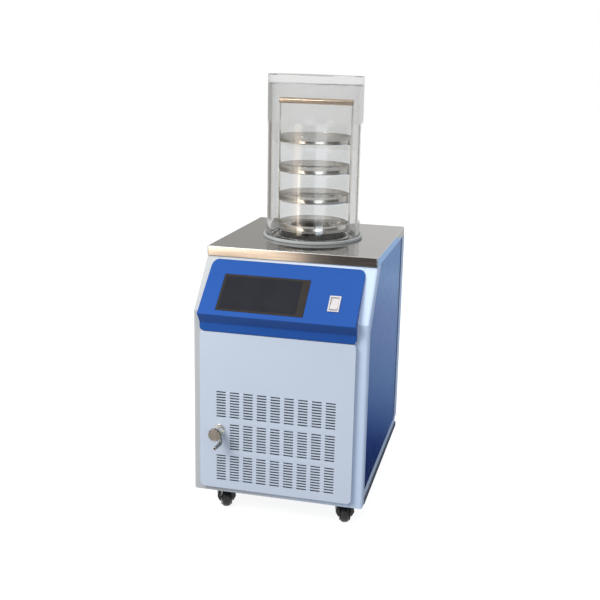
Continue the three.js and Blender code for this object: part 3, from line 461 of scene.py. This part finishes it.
def make_cabinet():
    """The cabinet's own solids, dressed."""
    for node in ("front_post_left", "front_post_right", "front_top_rail", "base_pan", "base_skid"):
        dress(node, 0.5)
    for node in ("side_panel_left", "side_panel_right"):
        dress(node, 1.2, 3)
    dress("rear_cover", 0.4, merge=False)
    dress("cold_trap_pot", 0, material=POT_STEEL)
    dress("top_plate", 0.5, material=TOP_STEEL)
    dress("console_fascia", segments=3)


def louvre_edges():
    """The slots' left edges, and their top edges by block, from the panel's left and top, in millimetres."""
    lefts = [LOUVRE_LEFT + column * COLUMN_PITCH for column in range(LOUVRE_COLUMNS)]
    tops = [
        [LOUVRE_TOP + row * ROW_PITCH + slot * SLOT_PITCH for slot in range(LOUVRE_SLOTS)]
        for row in range(LOUVRE_ROWS)
    ]
    return lefts, tops


def louvre_slots():
    """Each slot's left and top edges, without the block that is left out for the valve."""
    low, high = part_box("front_panel")
    valve = middle("drain_valve_knob")
    valve_left, valve_down = (valve.x - low.x) / MM, (high.z - valve.z) / MM
    lefts, blocks = louvre_edges()
    for tops in blocks:
        for left in lefts:
            if left < valve_left < left + SLOT_WIDTH and tops[0] < valve_down < tops[-1]:
                continue
            for top in tops:
                yield left, top


def make_front_panel():
    """The louvred sheet, folded back all round, with each slot's metal pressed into the cabinet and coloured dark
    grey as painted shade.
    """
    low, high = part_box("front_panel")
    wide, tall = (high.x - low.x) / MM, (high.z - low.z) / MM
    corner = Vector((low.x, low.y, high.z))
    lefts, blocks = louvre_edges()
    across = sorted(x for left in lefts for x in (left, left + SLOT_WIDTH))
    down = sorted(z for tops in blocks for top in tops for z in (top, top + SLOT_HEIGHT))
    slots = set(louvre_slots())
    bm = bmesh.new()
    verts = {(x, z): bm.verts.new(corner + MM * Vector((x, 0, -z))) for x in across for z in down}
    for x, right in zip(across, across[1:]):
        for z, foot in zip(down, down[1:]):
            if (x, z) not in slots:
                bm.faces.new((verts[x, z], verts[x, foot], verts[right, foot], verts[right, z]))

    def corner_bend(cx, cz, start):
        points = arc(cx, cz, PANEL_CORNER, start, start + 90, PANEL_CORNER_STEPS)
        return [bm.verts.new(corner + MM * Vector((x, 0, -z))) for x, z in points]

    inset = PANEL_CORNER
    top_left = corner_bend(inset, inset, 180)
    top_right = corner_bend(wide - inset, inset, 270)
    foot_right = corner_bend(wide - inset, tall - inset, 0)
    foot_left = corner_bend(inset, tall - inset, 90)
    half = PANEL_CORNER_STEPS // 2
    head = [verts[x, down[0]] for x in across]
    foot = [verts[x, down[-1]] for x in across]
    left = [verts[across[0], z] for z in down]
    right = [verts[across[-1], z] for z in down]
    bm.faces.new(top_left[half:] + top_right[:half + 1] + head[::-1])
    bm.faces.new(foot_right[half:] + foot_left[:half + 1] + foot)
    bm.faces.new(top_right[half:] + foot_right[:half + 1] + right[::-1])
    bm.faces.new(foot_left[half:] + top_left[:half + 1] + left)
    outline = top_left + top_right + foot_right + foot_left
    behind = [bm.verts.new((v.co.x, high.y, v.co.z)) for v in outline]
    rims = []
    for k in range(len(outline)):
        j = (k + 1) % len(outline)
        bm.faces.new((outline[k], behind[k], behind[j], outline[j]))
        rims.append(bm.edges.get((outline[k], outline[j])))
    bmesh.ops.bevel(bm, geom=rims, offset=PANEL_FOLD * MM, segments=3, profile=0.5, affect="EDGES")
    bmesh.ops.recalc_face_normals(bm, faces=bm.faces)
    panel = mesh_object("louvred_panel", bm)
    solidify = panel.modifiers.new("sheet", "SOLIDIFY")
    solidify.thickness = PANEL_SHEET * MM
    solidify.offset = -1
    flatten(panel)
    attach(panel, "cabinet", "panel_paint", replaces=("front_panel",))

    bm = bmesh.new()
    for x, z in louvre_slots():
        edge = corner + MM * Vector((x, 0, -z - SLOT_HEIGHT))
        add_prism(bm, LIP_PROFILE, SLOT_WIDTH, frame_at(edge, (0, 1, 0), (1, 0, 0)))
    # The lips take the dark grey of painted shade, not the panel's paint.
    finished("louvre_lips", bm, "cabinet", "panel_paint", material=LOUVRE_PAINTED_SHADE)


def add_screw(bm, matrix, radius=3.6, height=2.0):
    """A pan head with a round recess, standing on Z = 0."""
    head = [(radius, 0), (radius, height * 0.35), (radius * 0.86, height * 0.75), (radius * 0.5, height)]
    recess = [(radius * 0.34, height), (radius * 0.2, height * 0.45), (0, height * 0.4)]
    add_lathe(bm, head + recess, 20, matrix)


def make_screws():
    """Three screws down each side of the rear cover."""
    low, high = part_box("rear_cover")
    side, end = SCREW_SIDE_INSET * MM, SCREW_END_INSET * MM
    bm = bmesh.new()
    for z in (low.z + end, (low.z + high.z) / 2, high.z - end):
        for x in (low.x + side, high.x - side):
            add_screw(bm, frame_at((x, high.y, z), (1, 0, 0), (0, 1, 0)))
    finished("rear_cover_screws", bm, "cabinet", "zinc")


# ---------------------------------------------------------------- console


SCREEN_INSET, SCREEN_RIGHT_INSET, SCREEN_PROUD = 6, 20, 0.3


def window_face():
    """The window's lower left corner, as a matrix with Z out of the slope, and its width and length."""
    mesh = NODES["display_window"].data
    face = max(mesh.polygons, key=lambda polygon: polygon.area * polygon.normal.z)
    out = face.normal.copy()
    on_face = mesh.vertices[face.vertices[0]].co.dot(out)
    corners = [v.co for v in mesh.vertices if abs(v.co.dot(out) - on_face) < 0.05 * MM]
    foot = min(corners, key=lambda corner: corner.z + corner.x * 0.001)
    head = max(corners, key=lambda corner: corner.z + corner.x * 0.001)
    length = math.hypot(head.y - foot.y, head.z - foot.z)
    return frame_at(foot, (1, 0, 0), out), (head.x - foot.x) / MM, length / MM


def make_console():
    """Switch and window, and a screen set in the window's darker frame."""
    for node in ("switch_bezel", "switch_rocker"):
        dress(node, segments=3)
    dress("display_window", 0.3)
    face, width, length = window_face()
    low, right, head = SCREEN_INSET, width - SCREEN_RIGHT_INSET, length - SCREEN_INSET
    bm = bmesh.new()
    add_prism(bm, ((low, low), (right, low), (right, head), (low, head)), SCREEN_PROUD, face)
    finished("display_screen", bm, "cabinet", "window", 0.1, material=SCREEN)


# ---------------------------------------------------------------- drain valve

# As in the part's source, in millimetres and degrees.
STUB_REACH, OUTLET_REACH, OUTLET_DROP, OUTLET_BEND = 14, 52, 32, 8
OUTLET_LEAN, OUTLET_TURN = 16, 6
OUTLET_SIDES = 32
VALVE_BODY = (  # radius and height over the front panel, out to the packing
    (0, 0.3), (14.2, 0.3), (14.5, 0.6), (14.5, 2.2), (13.6, 3.0), (10.8, 3.2), (10.4, 3.6),
    (10.4, 5.4), (9.6, 6.0), (8.6, 6.4), (8.6, 12), (9.0, 12.4), (9.0, 19.6), (8.4, 20.4),
    (6.6, 20.8), (6.6, 22.0), (5.5, 22.4), (5.5, 26), (0, 26),
)
HEXAGON_RADIUS, HEXAGON_HEIGHT, HEXAGON_DEPTH = 11.6, 7, 5
VALVE_STUB = ((0, 0), (6.6, -2), (6.6, -13.4), (6.0, -15), (0, -15))
HANDWHEEL = (  # stem, rim and hollow face
    (0, 26.3), (4.5, 26.3), (4.5, 31.6), (6.5, 33), (15.4, 33), (16.5, 33.4), (17, 34.2),
    (17, 40.6), (16.6, 41.5), (15.8, 42), (14.6, 42), (14.2, 41.7), (4.6, 41.7), (4.2, 42), (0, 42),
)
FLUTES, FLUTE_DEPTH, FLUTED_FROM = 12, 1.2, 15


def handwheel_flute(radius, angle):
    """Twelve shallow flutes round the handwheel's rim."""
    return FLUTE_DEPTH / 2 * (1 - math.cos(FLUTES * angle)) if radius > FLUTED_FROM else 0


def make_valve():
    """The drain valve's body with its leaning stub, its outlet and its handwheel."""
    axis = middle("drain_valve_knob")
    origin = Vector((axis.x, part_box("front_panel")[0].y, axis.z))
    out = frame_at(origin, (1, 0, 0), (0, -1, 0))
    hanging = Matrix.Translation(origin) @ Matrix.Rotation(-math.radians(OUTLET_LEAN), 4, "Y")
    stub = hanging @ Matrix.Translation((0, -STUB_REACH * MM, 0))
    bm = bmesh.new()
    add_lathe(bm, VALVE_BODY, 48, out)
    hexagon = arc(0, 0, HEXAGON_RADIUS, 30, 330, 5)
    add_prism(bm, hexagon, HEXAGON_DEPTH, out @ Matrix.Translation((0, 0, HEXAGON_HEIGHT * MM)))
    add_lathe(bm, VALVE_STUB, 32, stub)
    finished("valve_body", bm, "cabinet", "chrome", 0.25, replaces=("drain_valve_body",))

    bm = bmesh.new()
    add_outlet(bm, stub @ Matrix.Rotation(-math.radians(OUTLET_TURN), 4, "Z"))
    outlet = finished(
        "valve_outlet", bm, "cabinet", "zinc", material=OUTLET_METAL, replaces=("drain_valve_outlet",)
    )
    outlet.data.materials.append(MATERIALS["black_nylon"])
    for polygon in outlet.data.polygons[-OUTLET_SIDES - 1:]:
        polygon.material_index = 1  # the bore, in black as painted shade inside the outlet

    bm = bmesh.new()
    add_lathe(bm, HANDWHEEL, 144, out, flute=handwheel_flute)
    finished(
        "valve_handwheel", bm, "valve_knob", "zinc", material=KNOB_METAL, replaces=("drain_valve_knob",)
    )


def add_outlet(bm, matrix, radius=4.7, bore=3.0):
    """The outlet: straight down from the valve, round a bend, and straight out to an open end."""
    foot, end, bend = -OUTLET_DROP, STUB_REACH - OUTLET_REACH, OUTLET_BEND
    stations = [(0, -14.6, 0, radius), (0, foot + bend, 0, radius)]
    for heading in range(10, 90, 10):
        turn = math.radians(heading)
        y, z = bend * math.cos(turn) - bend, foot + bend - bend * math.sin(turn)
        stations.append((y, z, heading, radius))
    stations += [(-bend, foot, 90, radius), (end + 0.4, foot, 90, radius), (end, foot, 90, radius - 0.4)]
    stations += [(end, foot, 90, bore + 0.3), (end + 0.3, foot, 90, bore), (end + 14, foot, 90, bore)]
    rings = []
    for y, z, heading, reach in stations:
        turn = math.radians(heading)
        up = Vector((0, -math.cos(turn), math.sin(turn)))
        rings.append([
            bm.verts.new(matrix @ (MM * (Vector((reach * math.cos(a), y, z)) + reach * math.sin(a) * up)))
            for a in circle(OUTLET_SIDES)
        ])
    for low, high in zip(rings, rings[1:]):
        join_rings(bm, low, high)
    bm.faces.new(rings[0][::-1])
    bm.faces.new(rings[-1])


# ---------------------------------------------------------------- drying chamber


CHAMBER_WALL = 10


def make_chamber():
    """Tube, lid and the seal that the tube stands in."""
    tube_low, tube_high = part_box("chamber_tube")
    lid_low, lid_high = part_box("chamber_lid")
    outer = (tube_high.x - tube_low.x) / 2 / MM
    inner = outer - CHAMBER_WALL
    low, high = tube_low.z / MM, tube_high.z / MM
    stand = Matrix.Translation(AXIS)
    bm = bmesh.new()
    add_lathe(
        bm,
        [(inner, low + 0.6), (inner + 0.6, low), (outer - 0.6, low), (outer, low + 0.6),
         (outer, high - 0.4), (outer - 0.4, high), (inner + 0.4, high), (inner, high - 0.4)],
        160, stand, closed=True,
    )
    finished("chamber_wall", bm, "cabinet", "clear_acrylic", replaces=("chamber_tube",))
    foot, head = lid_low.z / MM, lid_high.z / MM
    under = [(0, foot), (outer - 0.5, foot), (outer, foot + 0.5)]
    bm = bmesh.new()
    add_lathe(bm, under + [(outer, head - 1.6), (outer - 1.6, head), (0, head)], 160, stand)
    finished("chamber_cap", bm, "cabinet", "clear_acrylic", replaces=("chamber_lid",))

    seal_low, seal_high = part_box("chamber_seal")
    rim = (seal_high.x - seal_low.x) / 2 / MM
    foot, head = seal_low.z / MM, seal_high.z / MM
    seat = low - 0.3
    bm = bmesh.new()
    add_lathe(
        bm,
        [(inner - 3, foot), (rim - 0.8, foot), (rim, foot + 0.8), (rim, head - 2)]
        + arc(rim - 2, head - 2, 2, 0, 90, 4) + arc(outer + 2.5, head - 1, 1, 90, 180, 3)
        + [(outer + 1.5, seat), (inner - 2.2, seat), (inner - 3, seat - 0.8)],
        128, stand, closed=True,
    )
    finished("chamber_gasket", bm, "cabinet", "silicone", replaces=("chamber_seal",))


def make_trays():
    """Round trays with a turned foot and a rolled rim."""
    for number in range(1, 5):
        node = f"tray_{number}"
        low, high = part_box(node)
        outer = (high.x - low.x) / 2 / MM
        tall = (high.z - low.z) / MM
        outside = [(0, 0), (outer - 3, 0)] + arc(outer - 3, 3, 3, -90, 0, 5)[1:]
        rim = [(outer, tall - 0.6), (outer - 0.2, tall - 0.1), (outer - 0.6, tall)]
        rim += [(outer - 1.0, tall - 0.1), (outer - 1.2, tall - 0.6)]
        inside = arc(outer - 3.2, 3.2, 2, 0, -90, 4) + [(0, 1.2)]
        bm = bmesh.new()
        add_lathe(bm, outside + rim + inside, 128, Matrix.Translation(AXIS + Vector((0, 0, low.z))))
        finished(f"drying_tray_{number}", bm, "cabinet", "steel", replaces=(node,))


def make_rack():
    """The bar across the rack's head, and the rods and ring that carry the trays."""
    low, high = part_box("rack_top_bar")
    half = (high.x - low.x) / 2 / MM
    radius = (high.z - low.z) / 2 / MM
    along = frame_at(Vector((AXIS.x, AXIS.y, (low.z + high.z) / 2)), (0, 1, 0), (1, 0, 0))
    left = [(0, -half), (radius - 1.2, -half), (radius, -half + 1.2)]
    bm = bmesh.new()
    add_lathe(bm, left + [(reach, -x) for reach, x in left[::-1]], 48, along)
    finished("rack_bar", bm, "cabinet", "steel", material=BAR_WARM_PAINTED_REFLECTION, replaces=("rack_top_bar",))
    for node in ("rack_rod_left", "rack_rod_right", "rack_base_ring"):
        dress(node, 0.4)


# ---------------------------------------------------------------- casters


# Radius and distance from the wheel's middle, in millimetres.
HALF_TYRE = (
    (4.3, 13), (7.4, 13), (8, 12.4), (8.6, 11.4), (9.4, 10.2), (15.6, 10.2), (16.4, 10.9),
    (18.6, 11), (20.4, 10.5), (22.2, 8.6), (23.3, 6), (23.85, 3), (24, 0.6),
)
THREAD_GUARD = ((9.2, 11.6), (9.2, 14.4), (17.4, 14.4), (18.8, 13.6), (19.2, 12.4), (18.6, 11.6))
CASTER_SCREW_INSET, CASTER_PLATE_SHEET = 7, 2.5


def mirrored(profile):
    return [(radius, -x) for radius, x in profile]


def make_casters():
    """Wheels, thread guards beside them, and the hood, axle and screwed plate of each caster."""
    for corner in CORNERS:
        roll = JOINTS["wheel_roll_" + corner]
        stand = frame_at(Vector(roll["pos_m"]), (0, 0, 1), roll["axis"])
        bm = bmesh.new()
        add_lathe(bm, mirrored(HALF_TYRE) + list(HALF_TYRE[::-1]), 64, stand, closed=True)
        finished(
            "tyre_" + corner, bm, "wheel_" + corner, "black_nylon",
            replaces=("caster_wheel_" + corner,), smooth=40,
        )
        bm = bmesh.new()
        for guard in (mirrored(THREAD_GUARD), THREAD_GUARD):
            add_lathe(bm, guard, 64, stand, closed=True)
        finished("thread_guards_" + corner, bm, "caster_" + corner, "black_nylon")
        dress("caster_fork_" + corner, 0.9, 3)
        dress("caster_axle_" + corner, 0.6)
        dress("caster_plate_" + corner, 0.4)
    inset = CASTER_SCREW_INSET * MM
    bm = bmesh.new()
    for corner in CORNERS:
        low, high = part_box("caster_plate_" + corner)
        level = high.z - CASTER_PLATE_SHEET * MM
        for x in (low.x + inset, high.x - inset):
            for y in (low.y + inset, high.y - inset):
                add_screw(bm, frame_at((x, y, level), (1, 0, 0), (0, 0, -1)), 4, 2.4)
    finished("caster_screws", bm, "cabinet", "zinc")


# ---------------------------------------------------------------- light and surroundings


FLOOR_SIZE = 20
LAMP_AIM = (0, 0, 0.6)
LAMPS = (("key", (-1.7, -2.6, 3.0), 1.8, 97), ("overhead", (0.2, 0.3, 3.4), 2.2, 13))  # size, power


def make_world():
    """White where it is seen, and a pale cool light on the object."""
    world = bpy.data.worlds.new("surroundings")
    bpy.context.scene.world = world
    tree = Tree(world, "ShaderNodeOutputWorld")
    lit = tree.node("ShaderNodeBackground", {"Color": (0.86, 0.91, 1, 1), "Strength": 0.8})
    seen = tree.node("ShaderNodeBackground", {"Color": (1, 1, 1, 1)})
    tree.set(tree.out, {"Surface": tree.mix(tree.seen(), lit.outputs[0], seen.outputs[0])})


def make_lights():
    for name, stand, size, power in LAMPS:
        data = bpy.data.lights.new(name, "AREA")
        data.shape = "RECTANGLE"
        data.size = data.size_y = size
        data.energy = power
        light = bpy.data.objects.new(name, data)
        bpy.context.scene.collection.objects.link(light)
        light.location = stand
        light.rotation_mode = "QUATERNION"
        light.rotation_quaternion = (Vector(LAMP_AIM) - Vector(stand)).to_track_quat("-Z", "Y")


def flat_card(name, left, right, front, rear, level=0):
    """A level rectangle, in metres."""
    mesh = bpy.data.meshes.new(name)
    corners = [(left, front, level), (right, front, level), (right, rear, level), (left, rear, level)]
    mesh.from_pydata(corners, [], [(0, 1, 2, 3)])
    card = bpy.data.objects.new(name, mesh)
    bpy.context.scene.collection.objects.link(card)
    return card


def only_mirrored(obj):
    """A staged card that only mirrors see, through acrylic too: it lights nothing."""
    obj.visible_camera = False
    obj.visible_diffuse = False
    obj.visible_volume_scatter = False
    obj.visible_shadow = False


def glow(name, color):
    """An emission whose colour comes from a function of its tree, clear to rays that met no mirror."""
    material = bpy.data.materials.new(name)
    tree = Tree(material)
    light = tree.node("ShaderNodeEmission", {"Color": color(tree)})
    clear = tree.node("ShaderNodeBsdfTransparent")
    mirrors_met = tree.node("ShaderNodeLightPath").outputs["Glossy Depth"]
    tree.set(tree.out, {"Surface": tree.mix(mirrors_met, clear.outputs[0], light.outputs[0])})
    return material


# What mirrors see round the object, as degrees from straight ahead, to the right, and a brightness.
# Each band runs up to its level on the surround. The window, a warm streak, is laid over the trays' band.
FOOT_LEVEL, UNDER_LEVEL, WINDOW_LEVEL, OVER_LEVEL = 0.225, 0.31, 0.64, 0.86
LEVEL_BLUR = 0.01
AT_FOOT = (
    (-180, (0.60, 0.60, 0.60)), (-60, (0.90, 0.88, 0.85)), (-25, (1.55, 1.18, 0.82)),
    (-21, (1.45, 1.12, 0.84)), (-15, (1.95, 1.56, 1.22)), (-13.4, (1.45, 1.14, 0.90)),
    (-11.5, (0.36, 0.32, 0.30)), (-9, (0.14, 0.12, 0.11)), (30, (0.16, 0.15, 0.15)),
    (70, (0.40, 0.50, 0.65)), (110, (0.40, 0.60, 0.92)), (180, (0.40, 0.60, 0.92)),
)
UNDER_TRAYS = (
    (-180, (0.60, 0.60, 0.60)), (-60, (0.90, 0.88, 0.85)), (-28, (1.55, 1.18, 0.82)),
    (-26, (5.60, 4.90, 4.10)), (-17, (5.60, 4.90, 4.10)), (-14, (1.10, 0.90, 0.75)),
    (-11.5, (0.26, 0.24, 0.23)), (-9, (0.14, 0.12, 0.11)), (19, (0.16, 0.15, 0.15)),
    (21, (4.00, 4.50, 5.00)), (36, (4.00, 4.50, 5.00)), (38, (0.16, 0.15, 0.15)),
    (70, (0.60, 0.60, 0.60)), (180, (0.60, 0.60, 0.60)),
)
ROUND_TRAYS = (
    (-180, (1.50, 1.48, 1.46)), (-152, (1.20, 1.17, 1.13)), (-138, (0.34, 0.32, 0.30)),
    (-100, (0.30, 0.28, 0.25)), (-80, (0.36, 0.33, 0.30)), (-70, (0.62, 0.57, 0.52)),
    (-50, (0.80, 0.74, 0.68)), (-38, (1.10, 1.00, 0.90)), (-33, (2.60, 2.20, 1.80)),
    (-20, (2.40, 2.05, 1.70)), (-16, (0.70, 0.62, 0.55)), (-11, (0.26, 0.25, 0.24)),
    (5, (0.24, 0.24, 0.25)), (13, (0.50, 0.51, 0.52)), (19, (2.10, 2.15, 2.20)),
    (38, (2.00, 2.05, 2.10)), (46, (0.60, 0.60, 0.60)), (55, (0.24, 0.23, 0.22)),
    (92, (0.20, 0.19, 0.18)), (103, (0.90, 0.87, 0.84)), (134, (1.10, 1.07, 1.04)),
    (143, (0.30, 0.29, 0.28)), (153, (0.30, 0.29, 0.28)), (160, (1.20, 1.18, 1.16)),
    (180, (1.50, 1.48, 1.46)),
)
WINDOW = ((-27, (2.50, 2.12, 1.75)), (-26, (5.60, 4.90, 4.10)), (-20.5, (5.60, 4.90, 4.10)))
OVER_TRAYS = (
    (-180, (0.76, 0.76, 0.76)), (-171, (0.74, 0.74, 0.74)), (-163, (0.50, 0.49, 0.47)),
    (-120, (0.48, 0.47, 0.46)), (-40, (0.95, 0.92, 0.88)), (0, (0.90, 0.90, 0.90)),
    (90, (0.80, 0.80, 0.80)), (180, (0.76, 0.76, 0.76)),
)
SURROUND_RADIUS, SURROUND_FOOT, SURROUND_HEAD, SURROUND_SIDES = 2600, 10, 2400, 96


def surround_color(tree):
    """Colours by the angle round the object, in a band for each height."""
    turned = tree.where(turn=(0, 0, math.radians(90)))
    angle = tree.node("ShaderNodeTexGradient", {"Vector": turned}, gradient_type="RADIAL").outputs["Fac"]
    height = tree.node("ShaderNodeSeparateXYZ", {0: tree.where()}).outputs[2]
    color, under, window, trays, over = (
        tree.ramp(angle, *((degrees / 360 + 0.5, (*light, 1)) for degrees, light in band))
        for band in (AT_FOOT, UNDER_TRAYS, sorted(ROUND_TRAYS + WINDOW), ROUND_TRAYS, OVER_TRAYS)
    )
    for level, above in (
        (FOOT_LEVEL, under), (UNDER_LEVEL, window), (WINDOW_LEVEL, trays), (OVER_LEVEL, over)
    ):
        step = tree.spread(height, 0, 1, level - LEVEL_BLUR, level + LEVEL_BLUR)
        color = tree.node("ShaderNodeMix", {"Factor": step, 6: color, 7: above}, data_type="RGBA").outputs[2]
    return color


def make_surround():
    """A wall round the object, for mirrors only."""
    bm = bmesh.new()
    wall = [(SURROUND_RADIUS, SURROUND_FOOT), (SURROUND_RADIUS, SURROUND_HEAD)]
    add_lathe(bm, wall, SURROUND_SIDES)
    surround = mesh_object("surround", bm)
    surround.data.materials.append(glow("surround", surround_color))
    surround.location = AXIS
    only_mirrored(surround)


SIDE_CARD_DEPTH = 2.6  # over which its colours run
SIDE_CARD = (
    (0.0, (0.0, 0.0, 0.0)), (0.1, (0.02, 0.04, 0.14)), (0.17, (0.085, 0.16, 0.35)),
    (0.25, (0.17, 0.28, 0.53)), (0.34, (0.225, 0.37, 0.63)), (0.53, (0.31, 0.45, 0.76)),
    (0.74, (0.36, 0.52, 0.82)), (1.0, (0.50, 0.72, 1.08)),
)


def side_card_color(tree):
    """Colours from the object's middle to the back."""
    back = tree.node("ShaderNodeSeparateXYZ", {0: tree.where()}).outputs[1]
    stops = ((position, (*light, 1)) for position, light in SIDE_CARD)
    return tree.ramp(tree.spread(back, 0, 1, 0, SIDE_CARD_DEPTH), *stops)


def make_side_card():
    """The floor that the right side mirrors, dark close by and pale further back."""
    card = flat_card("side_card", 0.235, 2.2, -0.5, 6.0, 0.02)
    card.data.materials.append(glow("side_card", side_card_color))
    only_mirrored(card)


def make_floor():
    """White to the camera, with a faint shadow under the object, and pale for the light that bounces."""
    half = FLOOR_SIZE / 2
    floor = flat_card("floor", -half, half, -half, half)
    material = bpy.data.materials.new("floor")
    tree = Tree(material)
    white = tree.node("ShaderNodeEmission", {"Color": (0.88, 0.88, 0.88, 1)})
    dull = tree.node("ShaderNodeBsdfDiffuse", {"Color": (0.3, 0.3, 0.3, 1)})
    seen = tree.node("ShaderNodeAddShader", {0: white.outputs[0], 1: dull.outputs[0]})
    lit = tree.node("ShaderNodeBsdfDiffuse", {"Color": (0.22, 0.225, 0.24, 1)})
    tree.set(tree.out, {"Surface": tree.mix(tree.seen(), lit.outputs[0], seen.outputs[0])})
    floor.data.materials.append(material)


# ---------------------------------------------------------------- scene

bpy.context.scene.view_settings.view_transform = "Standard"
make_camera()
make_world()
make_lights()
make_floor()
make_surround()
make_side_card()
for name, node in NODES.items():
    node.data.materials.clear()
    node.data.materials.append(MATERIALS[SLOT_OF[name]])
make_cabinet()
make_front_panel()
make_screws()
make_console()
make_valve()
make_chamber()
make_trays()
make_rack()
make_casters()
